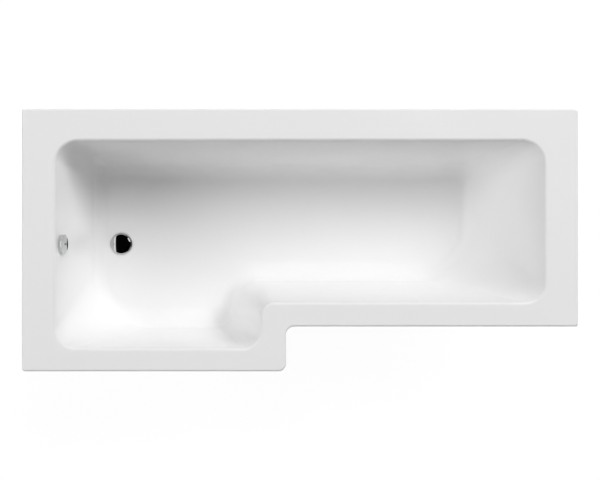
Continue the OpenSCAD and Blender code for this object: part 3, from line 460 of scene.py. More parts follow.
use_modifier(shell, "SOLIDIFY", thickness=acrylic_t, offset=-1, use_even_offset=True)

# The overflow's frame: its own +Z stands out of the end wall and its +X runs down it
overflow_drop = 0.058
wall_run = (well_roll * (sind(lean[LEFT]) - 1) + overflow_drop) / cosd(lean[LEFT])
overflow_at = Vector((
    rim_edge[LEFT] + deck[LEFT] + well_roll * cosd(lean[LEFT]) + wall_run * sind(lean[LEFT]),
    waste.y, rim_z - overflow_drop))
overflow_turn = (0, math.radians(90 - lean[LEFT]), 0)
overflow_hole_r, drill_length = 0.025, 0.06
bore(shell, overflow_hole_r, drill_length, overflow_at, overflow_turn)
smooth(shell, 35)

# Cast acrylic, drawn hot and polished: a clean white with a deep even gloss, whose
# reflections waver a little over the drawn walls and show a trace of wiping
acrylic, tree = new_material("cast sanitary acrylic, thermoformed and polished")
place = add_node(tree, "ShaderNodeTexCoord").outputs["Object"]
cloudy = add_node(tree, "ShaderNodeTexNoise", {"Scale": 4.0, "Detail": 2.0}, {"Vector": place})
white = add_node(tree, "ShaderNodeMix", {6: linear("#FAFAFA"), 7: linear("#FCFCFC")},
                 {0: cloudy.outputs["Fac"]}, data_type="RGBA")
wiped = add_node(
    tree, "ShaderNodeTexNoise", {"Scale": 35.0, "Detail": 5.0, "Distortion": 1.5},
    {"Vector": place})
gloss = add_node(
    tree, "ShaderNodeMapRange", {"To Min": 0.19, "To Max": 0.26}, {"Value": wiped.outputs["Fac"]})
drawn = add_node(tree, "ShaderNodeTexNoise", {"Scale": 18.0, "Detail": 1.0}, {"Vector": place})
waver = add_node(
    tree, "ShaderNodeBump", {"Strength": 0.25, "Distance": 0.0004},
    {"Height": drawn.outputs["Fac"]})
surface = add_node(
    tree, "ShaderNodeBsdfPrincipled", {"IOR": 1.49},
    {"Base Color": white.outputs[2], "Roughness": gloss.outputs[0], "Normal": waver.outputs[0]})
add_node(tree, "ShaderNodeOutputMaterial", links={"Surface": surface.outputs[0]})
dress(shell, "bath", "acrylic", acrylic, "tub_shell")


# Glass-fibre backing
# Chopped strands sprayed with resin over the back of the acrylic and rolled down by hand,
# with a flat bed under the floor that the baseboard is bonded to.
glass_t = 0.003
back_depth = acrylic_t + glass_t
under_z = 0.141
bed_step, rim_margin, collar_r = 0.008, 0.008, 0.03
inner_foot = well_ring(3, acrylic_t)
inner_dip = dip - Vector((0, 0, acrylic_t))
bed = ring_round(
    [floor_inset(side) + bed_step for side in range(6)],
    [floor_r[c] - corner_turn[c] * bed_step for c in range(6)], [under_z] * 6)
backing_rings = [waste_circle(foot, drain_r, inner_dip.z)]
backing_rings += [
    towards_waste(inner_foot, inner_dip, share, collar_r) for share in (1, 0.6, 0.2)]
backing_rings += [well_ring(stage, acrylic_t) for stage in reversed(well_stages)]
backing_rings += [
    rim_ring(rim_margin, rim_z - acrylic_t), rim_ring(rim_margin, rim_z - back_depth)]
backing_rings += [well_ring(stage, back_depth) for stage in well_stages]
backing_rings += [
    bed, waste_circle(foot, collar_r, under_z), waste_circle(foot, drain_r, under_z)]
backing = drawn_through("glass_fibre_layer", backing_rings, looped=True)
bore(backing, overflow_hole_r, drill_length, overflow_at, overflow_turn)
smooth(backing, 35)

# Glass fibre in polyester resin: short pale strands lying every way in a hard cream resin,
# half gloss where resin pooled. Strands of about 1 mm are drawn 3 mm wide so that they show
glass_fibre, tree = new_material("sprayed chopped-strand glass fibre in polyester resin")
place = add_node(tree, "ShaderNodeTexCoord").outputs["Object"]
strands = None
for angle in (0.3, 1.4, 2.5):
    turned_place = add_node(
        tree, "ShaderNodeMapping",
        {"Rotation": (angle, angle * 1.3, angle), "Scale": (12, 300, 300)},
        {"Vector": place})
    layer = add_node(
        tree, "ShaderNodeTexNoise", {"Scale": 1.0, "Detail": 2.0, "Distortion": 0.6},
        {"Vector": turned_place.outputs[0]})
    if strands is None:
        strands = layer.outputs["Fac"]
    else:
        strands = add_node(
            tree, "ShaderNodeMath", links={0: strands, 1: layer.outputs["Fac"]},
            operation="MAXIMUM").outputs[0]
pooled = add_node(tree, "ShaderNodeTexNoise", {"Scale": 9.0, "Detail": 4.0}, {"Vector": place})
strand_share = add_node(
    tree, "ShaderNodeMapRange", {"From Min": 0.45, "From Max": 0.72}, {"Value": strands})
tint = add_node(tree, "ShaderNodeMix", {6: linear("#CFCAB4"), 7: linear("#EDEBE0")},
                {0: strand_share.outputs[0]}, data_type="RGBA")
sheen = add_node(
    tree, "ShaderNodeMapRange",
    {"From Min": 0.35, "From Max": 0.65, "To Min": 0.3, "To Max": 0.62},
    {"Value": pooled.outputs["Fac"]})
relief = add_node(
    tree, "ShaderNodeMath", {1: 2.0}, {0: pooled.outputs["Fac"]}, operation="MULTIPLY")
height = add_node(
    tree, "ShaderNodeMath", links={0: relief.outputs[0], 1: strands}, operation="ADD")
lumps = add_node(
    tree, "ShaderNodeBump", {"Strength": 0.8, "Distance": 0.0012}, {"Height": height.outputs[0]})
surface = add_node(
    tree, "ShaderNodeBsdfPrincipled", {"IOR": 1.55},
    {"Base Color": tint.outputs[2], "Roughness": sheen.outputs[0], "Normal": lumps.outputs[0]})
add_node(tree, "ShaderNodeOutputMaterial", links={"Surface": surface.outputs[0]})
dress(backing, "bath", "glass_fibre", glass_fibre, "glass_fibre_backing")


# Baseboard
# A sheet of chipboard cut to the floor's outline, bonded under the flat bed. It spreads the
# weight of the well over the three cross-bars.
def eased_copy(name, width):
    """A copy of a plain CAD piece, welded, with its flat faces joined and its edges eased."""
    piece = nodes[name].copy()
    piece.data = nodes[name].data.copy()
    piece.parent = None
    for key in list(piece.keys()):
        del piece[key]
    scene.collection.objects.link(piece)
    piece.name = name + "_eased"
    pick(piece)
    bpy.ops.object.mode_set(mode="EDIT")
    bpy.ops.mesh.select_all(action="SELECT")
    bpy.ops.mesh.customdata_custom_splitnormals_clear()
    bpy.ops.mesh.remove_doubles(threshold=0.00001)
    bpy.ops.mesh.dissolve_limited(angle_limit=math.radians(1))
    bpy.ops.object.mode_set(mode="OBJECT")
    use_modifier(piece, "BEVEL", width=width, segments=2, limit_method="ANGLE",
                 angle_limit=math.radians(40), use_clamp_overlap=True)
    smooth(piece, 35)
    return piece


board = eased_copy("baseboard", 0.0006)
# Chipboard: pressed wood flakes of 2 to 6 mm in many tans, matt and slightly open
chipboard, tree = new_material("raw chipboard, pressed and sawn")
place = add_node(tree, "ShaderNodeTexCoord").outputs["Object"]
flakes = add_node(
    tree, "ShaderNodeTexVoronoi", {"Scale": 260.0, "Randomness": 1.0}, {"Vector": place})
flake_colour = add_node(tree, "ShaderNodeSeparateColor", links={0: flakes.outputs["Color"]})
flake_tint = add_node(tree, "ShaderNodeValToRGB", links={"Fac": flake_colour.outputs[0]})
ramp = flake_tint.color_ramp
ramp.elements[0].color = linear("#8E6B41")
ramp.elements[1].color = linear("#DDBF90")
ramp.elements.new(0.5).color = linear("#BD996A")
grain = add_node(tree, "ShaderNodeTexNoise", {"Scale": 500.0, "Detail": 2.0}, {"Vector": place})
pits = add_node(
    tree, "ShaderNodeBump", {"Strength": 0.6, "Distance": 0.0005},
    {"Height": grain.outputs["Fac"]})
surface = add_node(
    tree, "ShaderNodeBsdfPrincipled", {"Roughness": 0.85},
    {"Base Color": flake_tint.outputs[0], "Normal": pits.outputs[0]})
add_node(tree, "ShaderNodeOutputMaterial", links={"Surface": surface.outputs[0]})
dress(board, "bath", "chipboard", chipboard, "baseboard")


# Rim battens
# Six planed softwood battens, glassed under the flat rim so that it doesn't flex, each with
# its grain along its length.
def softwood(name, turn):
    """Planed softwood with its grain along X, or along Y when turned a quarter."""
    material, tree = new_material(name)
    place = add_node(tree, "ShaderNodeTexCoord").outputs["Object"]
    along = add_node(
        tree, "ShaderNodeMapping", {"Rotation": (0, 0, turn), "Scale": (1.2, 22, 22)},
        {"Vector": place})
    rings = add_node(
        tree, "ShaderNodeTexWave",
        {"Scale": 3.2, "Distortion": 5.0, "Detail": 3.0, "Detail Scale": 1.2},
        {"Vector": along.outputs[0]}, wave_type="RINGS", rings_direction="X")
    tint = add_node(tree, "ShaderNodeMix", {6: linear("#E2C69A"), 7: linear("#B98F5C")},
                    {0: rings.outputs["Fac"]}, data_type="RGBA")
    fibre = add_node(
        tree, "ShaderNodeTexNoise", {"Scale": 30.0, "Detail": 4.0}, {"Vector": along.outputs[0]})
    fuzz = add_node(
        tree, "ShaderNodeBump", {"Strength": 0.35, "Distance": 0.0004},
        {"Height": fibre.outputs["Fac"]})
    surface = add_node(
        tree, "ShaderNodeBsdfPrincipled", {"Roughness": 0.7},
        {"Base Color": tint.outputs[2], "Normal": fuzz.outputs[0]})
    add_node(tree, "ShaderNodeOutputMaterial", links={"Surface": surface.outputs[0]})
    return material


timber_x = softwood("planed softwood, grain lengthwise", 0)
timber_y = softwood("planed softwood, grain crosswise", math.pi / 2)
for name, timber in (
    ("batten_wall_side", timber_x), ("batten_narrow_front", timber_x),
    ("batten_shower_front", timber_x), ("batten_waste_end", timber_y),
    ("batten_backrest_end", timber_y), ("batten_step", timber_y),
):
    dress(eased_copy(name, 0.0012), "bath", "timber", timber, name)


# Cross-bars, wall brackets and screws
# The three cross-bars and the two wall brackets are folded from galvanised steel sheet;
# zinc-plated screws hold them to the board and the batten.
galvanised, tree = new_material("hot-dip galvanised steel sheet, folded")
# The spangle's crystals are about 8 mm across, each a slightly different grey
place = add_node(tree, "ShaderNodeTexCoord").outputs["Object"]
spangle = add_node(tree, "ShaderNodeTexVoronoi", {"Scale": 120.0}, {"Vector": place})
crystal = add_node(tree, "ShaderNodeSeparateColor", links={0: spangle.outputs["Color"]})
tint = add_node(tree, "ShaderNodeMix", {6: linear("#A9ADB0"), 7: linear("#C3C6C8")},
                {0: crystal.outputs[0]}, data_type="RGBA")
dull = add_node(
    tree, "ShaderNodeMapRange", {"To Min": 0.32, "To Max": 0.5}, {"Value": crystal.outputs[1]})
surface = add_node(
    tree, "ShaderNodeBsdfPrincipled", {"Metallic": 1.0},
    {"Base Color": tint.outputs[2], "Roughness": dull.outputs[0]})
add_node(tree, "ShaderNodeOutputMaterial", links={"Surface": surface.outputs[0]})
for name in (
    "cradle_bar_waste_end", "cradle_bar_middle", "cradle_bar_backrest_end",
    "wall_bracket_waste_end", "wall_bracket_backrest_end",
):
    dress(eased_copy(name, 0.0005), "bath", "galvanised_steel", galvanised, name)


def clouded(name, pattern, colours, settings, roughness=None, relief=None):
    """A material whose colour follows one noise, together with its gloss or a shallow relief."""
    material, tree = new_material(name)
    place = add_node(tree, "ShaderNodeTexCoord").outputs["Object"]
    cloud = add_node(tree, "ShaderNodeTexNoise", pattern, {"Vector": place})
    tint = add_node(tree, "ShaderNodeMix", {6: linear(colours[0]), 7: linear(colours[1])},
                    {0: cloud.outputs["Fac"]}, data_type="RGBA")
    links = {"Base Color": tint.outputs[2]}
    if roughness:
        dull = add_node(
            tree, "ShaderNodeMapRange", {"To Min": roughness[0], "To Max": roughness[1]},
            {"Value": cloud.outputs["Fac"]})
        links["Roughness"] = dull.outputs[0]
    if relief:
        pores = add_node(
            tree, "ShaderNodeBump", {"Strength": relief, "Distance": 0.0002},
            {"Height": cloud.outputs["Fac"]})
        links["Normal"] = pores.outputs[0]
    surface = add_node(tree, "ShaderNodeBsdfPrincipled", settings, links)
    add_node(tree, "ShaderNodeOutputMaterial", links={"Surface": surface.outputs[0]})
    return material


# Bright zinc: a cool silver with a faint cloudy bloom
zinc = clouded(
    "bright zinc plate on turned steel", {"Scale": 220.0, "Detail": 3.0},
    ("#B4B8BC", "#D2D5D8"), {"Metallic": 1.0}, roughness=(0.2, 0.36))


def repaint(name, material):
    """Gives a CAD piece whose shape is right its finish."""
    nodes[name].data.materials.clear()
    nodes[name].data.materials.append(material)


repaint("cradle_screws", zinc)
repaint("bracket_screws", zinc)


# Waste flange and seals
# The flange is brass, turned, slotted for the overflow water and chromed; its three arms
# carry the hub that the plug's sleeve screws into. Rubber seals clamp the shell's floor.
def turned(name, section, sides=96):
    """A turned piece from its half section of [radius, height], closed from last to first."""
    r, z = section[0]
    bpy.ops.object.select_all(action="DESELECT")
    bpy.ops.mesh.primitive_circle_add(vertices=sides, radius=max(r, 1e-5), location=(0, 0, z))
    piece = bpy.context.object
    piece.name = name
    settle(piece)
    bpy.ops.object.mode_set(mode="EDIT")
    bpy.ops.mesh.select_all(action="SELECT")
    for (r0, z0), (r1, z1) in zip(section, section[1:] + section[:1]):
        scale = max(r1, 1e-5) / max(r0, 1e-5)
        bpy.ops.mesh.extrude_edges_move(TRANSFORM_OT_translate={"value": (0, 0, z1 - z0)})
        bpy.ops.transform.resize(value=(scale, scale, 1), center_override=(0, 0, 0))
    bpy.ops.mesh.select_all(action="SELECT")
    bpy.ops.mesh.remove_doubles(threshold=0.00003)
    bpy.ops.mesh.normals_make_consistent(inside=False)
    bpy.ops.object.mode_set(mode="OBJECT")
    return piece


def rounded(section, corner, radius, steps=4):
    """Swaps one corner of a half section for a short arc through its two neighbours' lines."""
    n = len(section)
    p, a, b = (Vector(section[i % n]) for i in (corner, corner - 1, corner + 1))
    start = p + (a - p).normalized() * radius
    end = p + (b - p).normalized() * radius
    arc = []
    for i in range(steps + 1):
        t = i / steps
        q = start * (1 - t) ** 2 + p * 2 * t * (1 - t) + end * t ** 2
        arc.append((q.x, q.y))
    return section[:corner] + arc + section[corner + 1:]


def washer(name, r_out, r_in, low, high, ease):
    """A moulded ring with its outer edges rounded."""
    section = [(r_in, low), (r_out, low), (r_out, high), (r_in, high)]
    section = rounded(rounded(section, 2, ease), 1, ease)
    return turned(name, section)


def block(low, high, turn=0):
    """A plain block between two corners, turned about the vertical axis through the origin."""
    bpy.ops.object.select_all(action="DESELECT")
    bpy.ops.mesh.primitive_cube_add(size=1)
    piece = bpy.context.object
    low, high = Vector(low), Vector(high)
    piece.scale = high - low
    put(piece, (low + high) / 2)
    put(piece, (0, 0, 0), (0, 0, turn))
    return piece


flange_low_z = seat_z + 0.001
flange_top_z = flange_low_z + 0.002
throat_low_z = 0.096
throat_in_r, throat_r, flange_r = 0.0210, 0.0236, 0.036
hub_low_z, hub_top_z = 0.104, 0.110
hub_in_r, hub_r, arm_w = 0.00505, 0.009, 0.004
flange = turned("chromed_waste_flange", [
    (throat_in_r, throat_low_z), (throat_r, throat_low_z), (throat_r, flange_low_z),
    (flange_r, flange_low_z), (flange_r, flange_low_z + 0.0006), (0.0357, flange_low_z + 0.0009),
    (0.0334, flange_top_z - 0.0001), (0.033, flange_top_z), (0.0318, flange_top_z),
    (0.031, flange_top_z - 0.0002), (0.0285, flange_top_z - 0.0011),
    (0.0255, flange_top_z - 0.0021), (0.0225, flange_top_z - 0.0027),
    (0.0214, flange_top_z - 0.0032), (throat_in_r, flange_top_z - 0.0041),
])
for quarter in range(4):
    slot = block((0.018, -0.005, 0.103), (0.026, 0.005, 0.111), quarter * math.pi / 2)
    combine(flange, slot, "DIFFERENCE")
hub = turned("hub", [
    (hub_in_r, hub_low_z), (hub_r, hub_low_z), (hub_r, hub_top_z), (hub_in_r, hub_top_z)], 48)
for turn in (45, 165, 285):
    arm = block(
        (0.008, -arm_w / 2, hub_low_z), (0.0222, arm_w / 2, hub_top_z), math.radians(turn))
    combine(hub, arm, "UNION")
combine(flange, hub, "UNION")
put(flange, waste)
smooth(flange)

# Chrome plate: a cold mirror that dulls a little where water has dried
chrome, tree = new_material("polished chrome plate")
place = add_node(tree, "ShaderNodeTexCoord").outputs["Object"]
dried = add_node(tree, "ShaderNodeTexNoise", {"Scale": 90.0, "Detail": 4.0}, {"Vector": place})
dull = add_node(
    tree, "ShaderNodeMapRange",
    {"From Min": 0.35, "From Max": 0.7, "To Min": 0.03, "To Max": 0.09},
    {"Value": dried.outputs["Fac"]})
surface = add_node(
    tree, "ShaderNodeBsdfPrincipled", {"Metallic": 1.0, "Base Color": linear("#D6D7D8")},
    {"Roughness": dull.outputs[0]})
add_node(tree, "ShaderNodeOutputMaterial", links={"Surface": surface.outputs[0]})
dress(flange, "bath", "chrome", chrome, "waste_flange")

# Moulded rubber: near black, matt, with a fine dusty bloom
rubber = clouded(
    "moulded black rubber", {"Scale": 400.0, "Detail": 3.0}, ("#141415", "#2B2B2C"),
    {"Roughness": 0.65}, relief=0.3)
cup_top_z, gasket_in_r, gasket_ease = 0.137, 0.027, 0.0004
for name, node, r_out, low, high in (
    ("flange_gasket", "flange_seal", 0.035, seat_z, flange_low_z),
    ("underside_gasket", "under_seal", 0.037, cup_top_z, under_z),
):
    gasket = washer(name, r_out, gasket_in_r, low, high, gasket_ease)
    put(gasket, waste)
    smooth(gasket)
    dress(gasket, "bath", "seal_rubber", rubber, node)


# Waste body
# An injection-moulded cup that the flange's throat screws into, with the threaded outlet for
# the trap below and the spigot for the overflow hose at its side.
def threaded(piece, low, high, radius, pitch, depth):
    """Cuts a screw thread into the rings of a turned piece between two levels."""
    for v in piece.data.vertices:
        r = v.co.to_2d().length
        if low < v.co.z < high and abs(r - radius) < 0.0003:
            phase = (v.co.z / pitch - math.atan2(v.co.y, v.co.x) / (2 * math.pi)) % 1
            r_new = radius - depth * abs(2 * phase - 1)
            v.co.x *= r_new / r
            v.co.y *= r_new / r


tail_low_z, tail_top_z, cup_low_z = 0.060, 0.088, 0.102
tail_r, cup_r, cup_rim_r, cup_wall = 0.0239, 0.0325, 0.038, 0.0035
throat_ring_r, throat_ring_h, cup_rim_h = 0.02365, 0.008, 0.004
thread_pitch, thread_depth = 0.00231, 0.0009
thread_rings = [(tail_r, tail_low_z + 0.0008 + i * 0.0262 / 90) for i in range(91)]
body = turned("waste_cup", [
    (tail_r - cup_wall, tail_low_z), (tail_r - 0.0006, tail_low_z), *thread_rings,
    (tail_r, tail_top_z), (cup_r, tail_top_z + 0.004), (cup_r, cup_top_z - cup_rim_h - 0.0002),
    (cup_r + 0.0008, cup_top_z - cup_rim_h), (cup_rim_r - 0.0006, cup_top_z - cup_rim_h),
    (cup_rim_r, cup_top_z - 0.0034), (cup_rim_r, cup_top_z - 0.0004),
    (cup_rim_r - 0.0004, cup_top_z), (cup_r - cup_wall, cup_top_z),
    (cup_r - cup_wall, cup_low_z), (throat_ring_r, cup_low_z),
    (throat_ring_r, cup_low_z - throat_ring_h), (tail_r - cup_wall, cup_low_z - throat_ring_h),
])
threaded(body, tail_low_z + 0.001, tail_top_z - 0.0012, tail_r, thread_pitch, thread_depth)
spigot_r, socket_r, socket_depth, bore_r = 0.0187, 0.0163, 0.014, 0.013
inlet_z, inlet_end = 0.118, 0.0605
sideways = (0, math.radians(90), 0)
spigot = turned("side_spigot", [
    (bore_r, -inlet_end + socket_depth), (socket_r, -inlet_end + socket_depth),
    (socket_r, -inlet_end), (spigot_r - 0.0005, -inlet_end), (spigot_r, -inlet_end + 0.0005),
    (spigot_r, -0.030), (bore_r, -0.030),
], 64)
put(spigot, (0, 0, inlet_z), sideways)
combine(body, spigot, "UNION")
bore(body, 0.0128, 0.012, (-0.032, 0, inlet_z), sideways)
put(body, waste)
smooth(body, 28)

# Polypropylene: a milky white with a soft moulded sheen and faint flow marks
white_plastic = clouded(
    "injection-moulded white polypropylene", {"Scale": 60.0, "Detail": 3.0, "Distortion": 1.0},
    ("#DFDFDB", "#EAEAE7"), {"IOR": 1.49}, roughness=(0.28, 0.42))
dress(body, "bath", "white_plastic", white_plastic, "waste_body")


# Pop-up plug
# A chromed dome on a brass post that rises on its spring at a push and latches down at the
# next. The sleeve stays in the hub; the cap, its seal and the post move together.
plug_under_z = flange_top_z + 0.0003
plug_r, plug_dome, plug_edge_t = 0.033, 0.005, 0.0016
post_hole_r, collar_h = 0.00315, 0.006
dome_r = (plug_r ** 2 + plug_dome ** 2) / (2 * plug_dome)
dome_span = math.asin(plug_r / dome_r)
edge_z = plug_under_z + plug_edge_t
dome = [
    (dome_r * math.sin(dome_span * (1 - i / 24)),
     edge_z + plug_dome - dome_r * (1 - math.cos(dome_span * (1 - i / 24))))
    for i in range(25)]
cap = turned("domed_plug_cap", [
    (0, plug_under_z), (post_hole_r, plug_under_z), (post_hole_r, plug_under_z - collar_h),
    (0.0062, plug_under_z - collar_h), (0.0065, plug_under_z - 0.0057), (0.0065, plug_under_z),
    (plug_r - 0.0008, plug_under_z), (plug_r - 0.0002, plug_under_z + 0.0003),
    (plug_r, plug_under_z + 0.0006), (plug_r - 0.0001, edge_z - 0.0006),
    (plug_r - 0.0005, edge_z - 0.0001), *dome[1:],
], 128)
put(cap, waste)
smooth(cap, 40)
dress(cap, "plug", "chrome", chrome, "plug_dome_cap")
plug_gasket = washer(
    "plug_gasket", 0.0255, 0.0068, plug_under_z - 0.0016, plug_under_z, 0.0006)
put(plug_gasket, waste)
smooth(plug_gasket)
dress(plug_gasket, "plug", "seal_rubber", rubber, "plug_seal")

# Turned brass: warm yellow with fine tool rings round the axis
brass, tree = new_material("turned brass")
place = add_node(tree, "ShaderNodeTexCoord").outputs["Object"]
tool = add_node(
    tree, "ShaderNodeTexWave", {"Scale": 900.0, "Distortion": 0.4},
    {"Vector": place}, bands_direction="Z")
marks = add_node(
    tree, "ShaderNodeBump", {"Strength": 0.2, "Distance": 0.0001}, {"Height": tool.outputs["Fac"]})
surface = add_node(
    tree, "ShaderNodeBsdfPrincipled",
    {"Metallic": 1.0, "Roughness": 0.28, "Base Color": linear("#D9B766")},
    {"Normal": marks.outputs[0]})
add_node(tree, "ShaderNodeOutputMaterial", links={"Surface": surface.outputs[0]})
repaint("plug_post", brass)
repaint("plug_sleeve", brass)

# Drawn stainless: one neutral grey with a fine grain in its gloss
steel = clouded(
    "drawn stainless steel", {"Scale": 300.0, "Detail": 2.0}, ("#BDBEC0", "#BDBEC0"),
    {"Metallic": 1.0}, roughness=(0.2, 0.38))
repaint("plug_spring", steel)
repaint("overflow_grid", steel)


# Overflow
# A round chromed cover with a slot at its foot, held by one screw through the pierced plate
# to the elbow behind the wall. It is made lying flat and then leaned on to the end wall.
def crown_z(r):
    """Height of the overflow cover's crown at a radius."""
    return cover_h - crown_drop - r ** 2 / (2 * crown_r)


cover_r, cover_h, cover_t, cover_ease = 0.031, 0.016, 0.0016, 0.0014
cover_seat, crown_drop, crown_r, hole_r, boss_r = 0.0004, 0.0004, 0.28, 0.0033, 0.005
crown_low_z = crown_z(cover_r - cover_ease)
eased = [
    (cover_r - cover_ease * (1 - sind(a)), crown_low_z - cover_ease * (1 - cosd(a)))
    for a in (90, 80, 70, 60, 50, 40, 30, 20, 12, 5)]
crown = [
    (cover_r * share, crown_z(cover_r * share))
    for share in (0.92, 0.85, 0.78, 0.7, 0.62, 0.54, 0.46, 0.38, 0.3, 0.22)]
cover = turned("chromed_overflow_cover", [
    (cover_r - cover_t, cover_seat), (cover_r, cover_seat), *eased, *crown,
    (0.0059, cover_h - 0.0005), (0.0057, cover_h - 0.0007), (hole_r, cover_h - 0.0007),
    (hole_r, 0.003), (boss_r, 0.003), (boss_r, cover_h - 0.0024),
    (cover_r * 0.78, cover_h - 0.0028), (cover_r - cover_t, cover_h - 0.0052),
], 128)
slot = block((cover_r / 2, -0.017, -0.0006), (cover_r * 1.5, 0.017, 0.0054))
combine(cover, slot, "DIFFERENCE")
put(cover, overflow_at, overflow_turn)
smooth(cover, 35)
dress(cover, "bath", "chrome", chrome, "overflow_cover")

head_z = cover_h - 0.0006
screw = turned("overflow_screw_chromed", [
    (0, -0.039), (0.0022, -0.039), (0.003, -0.038), (0.003, head_z), (0.0055, head_z),
    (0.0055, head_z + 0.0006), (0.0052, head_z + 0.0014), (0.0046, head_z + 0.0021),
    (0.0040, head_z + 0.0024), (0.0026, head_z + 0.0024), (0.0024, head_z + 0.0022),
    (0.0024, head_z + 0.0012), (0, head_z + 0.0012),
], 48)
put(screw, overflow_at, overflow_turn)
smooth(screw)
dress(screw, "bath", "chrome", chrome, "overflow_screw")
for name, node, r_out, r_in, low, high in (
    ("overflow_front_gasket", "overflow_front_washer", 0.0291, 0.026, 0, 0.001),
    ("overflow_back_gasket", "overflow_back_seal", 0.034, 0.026, -0.013, -0.008),
):
    gasket = washer(name, r_out, r_in, low, high, gasket_ease)
    put(gasket, overflow_at, overflow_turn)
    smooth(gasket)
    dress(gasket, "bath", "seal_rubber", rubber, node)

elbow_top, elbow_low = -0.013, -0.045
elbow_mid = elbow_top - 0.017
hose_x = overflow_at.x + elbow_mid * cosd(lean[LEFT])
elbow_mid_z = overflow_at.z + elbow_mid * sind(lean[LEFT])
spigot_low_z = elbow_mid_z - 0.0285 / cosd(lean[LEFT]) - 0.022
elbow = turned("overflow_elbow_cup", [
    (0, elbow_low - 0.003), (0.0275, elbow_low - 0.003), (0.0285, elbow_low - 0.002),
    (0.0285, elbow_top - 0.004), (0.0335, elbow_top - 0.004), (0.034, elbow_top - 0.0035),
    (0.034, elbow_top), (0.0255, elbow_top), (0.0255, elbow_low), (0, elbow_low),
])
put(elbow, overflow_at, overflow_turn)
down = turned("overflow_elbow_spigot", [
    (bore_r, elbow_mid_z), (bore_r, spigot_low_z + socket_depth),
    (socket_r, spigot_low_z + socket_depth), (socket_r, spigot_low_z),
    (spigot_r - 0.0005, spigot_low_z), (spigot_r, spigot_low_z + 0.0005),
    (spigot_r, elbow_mid_z),
], 64)
put(down, (hose_x, waste.y, 0))
combine(elbow, down, "UNION")
out_of_wall = Vector((cosd(lean[LEFT]), 0, sind(lean[LEFT])))
bore(elbow, 0.0254, 0.0318, overflow_at + out_of_wall * (elbow_top - 0.016), overflow_turn)
bore(elbow, 0.0129, 0.03, (hose_x, waste.y, elbow_mid_z - 0.022))
spider = turned("overflow_spider", [
    (0.00305, -0.040), (0.0065, -0.040), (0.0065, -0.031), (0.00305, -0.031)], 48)
for turn in (60, 180, 300):
    arm = block(
        (0.00475, -arm_w / 2, -0.0399), (0.0262, arm_w / 2, -0.0311), math.radians(turn))
    combine(spider, arm, "UNION")
put(spider, overflow_at, overflow_turn)
combine(elbow, spider, "UNION")
smooth(elbow)
dress(elbow, "bath", "white_plastic", white_plastic, "overflow_elbow")


# Overflow hose
# A blow-moulded ribbed hose with smooth cuffs, pushed into the elbow's spigot and the waste
# body's, and sealed by a ring under a hand-tight nut at each end.
hose_r, hose_bend_r, hose_in_socket = 0.016, 0.125, 0.010
hose_start_z = spigot_low_z + hose_in_socket
hose_end_x = waste.x - inlet_end + hose_in_socket
hose_down = hose_start_z - inlet_z - hose_bend_r
hose_bend = hose_bend_r * math.pi / 2
hose_along = hose_end_x - hose_x - hose_bend_r
hose_length = hose_down + hose_bend + hose_along
furrow_r, rib_rise, rib_pitch = 0.015, 0.0018, 0.008
rib_count = math.floor((hose_length - 4 * hose_r) / rib_pitch)
rib_start = (hose_length - rib_count * rib_pitch) / 2


def hose_ring(run, radius, sides=40):
    """One ring of the hose at a run from its upper end: straight down, round, then level."""
    turn = (run - hose_down) / hose_bend_r
    if run <= hose_down:
        x, z, heading = hose_x, hose_start_z - run, 0
    elif run <= hose_down + hose_bend:
        x = hose_x + hose_bend_r * (1 - math.cos(turn))
        z = inlet_z + hose_bend_r * (1 - math.sin(turn))
        heading = turn
    else:
        x, z, heading = hose_x + hose_bend_r + run - hose_down - hose_bend, inlet_z, math.pi / 2
    points = []
    for k in range(sides):
        angle = 2 * math.pi * k / sides
        out = radius * math.cos(angle)
        points.append(Vector((
            x + out * math.cos(heading), waste.y + radius * math.sin(angle),
            z + out * math.sin(heading))))
    return points


hose_rings = [hose_ring(0, hose_r), hose_ring(rib_start - 0.0005, hose_r)]
rib_steps = 8
for i in range(rib_count * rib_steps + 1):
    swell = 0.5 - 0.5 * math.cos(2 * math.pi * i / rib_steps)
    hose_rings.append(hose_ring(
        rib_start + i * rib_pitch / rib_steps, furrow_r + rib_rise * swell ** 0.7))
hose_rings += [hose_ring(hose_length - rib_start + 0.0005, hose_r), hose_ring(hose_length, hose_r)]
hose_rings += [hose_ring(hose_length * (1 - i / 30), bore_r) for i in range(31)]
hose = drawn_through("ribbed_overflow_hose", hose_rings, looped=True)
smooth(hose, 50)
# Flexible PVC: pale grey, soft and waxy, a little greyer and shinier where it was handled
hose_plastic = clouded(
    "blow-moulded flexible PVC", {"Scale": 45.0, "Detail": 3.0}, ("#BFC1C3", "#D2D4D5"), {},
    roughness=(0.38, 0.55))
dress(hose, "bath", "hose_plastic", hose_plastic, "overflow_hose")

# Moulded nylon: black with a fine spark-eroded grain
dark_plastic = clouded(
    "moulded black nylon", {"Scale": 700.0, "Detail": 2.0}, ("#262628", "#37373A"),
    {"Roughness": 0.48}, relief=0.35)
nut_h, nut_lip_t, hose_seal_t = 0.017, 0.0026, 0.003


def hand_nut(name):
    """A hand-tight nut with six grips, open at z = 0 and lipped at its far end."""
    r_in, r_out = spigot_r + 0.00005, 0.02115
    section = [
        (r_in, 0), (r_out, 0), (r_out, nut_h), (hose_r + 0.0012, nut_h),
        (hose_r + 0.0006, nut_h - 0.0006), (hose_r + 0.0006, nut_h - nut_lip_t),
        (r_in, nut_h - nut_lip_t)]
    section = rounded(rounded(section, 2, 0.0012), 1, 0.0006)
    nut = turned(name, section, 72)
    for k in range(6):
        grip = block((0.0195, -0.003, 0.0006), (0.0221, 0.003, nut_h - 0.001), k * math.pi / 3)
        use_modifier(grip, "BEVEL", width=0.0007, segments=3)
        combine(nut, grip, "UNION")
    return nut


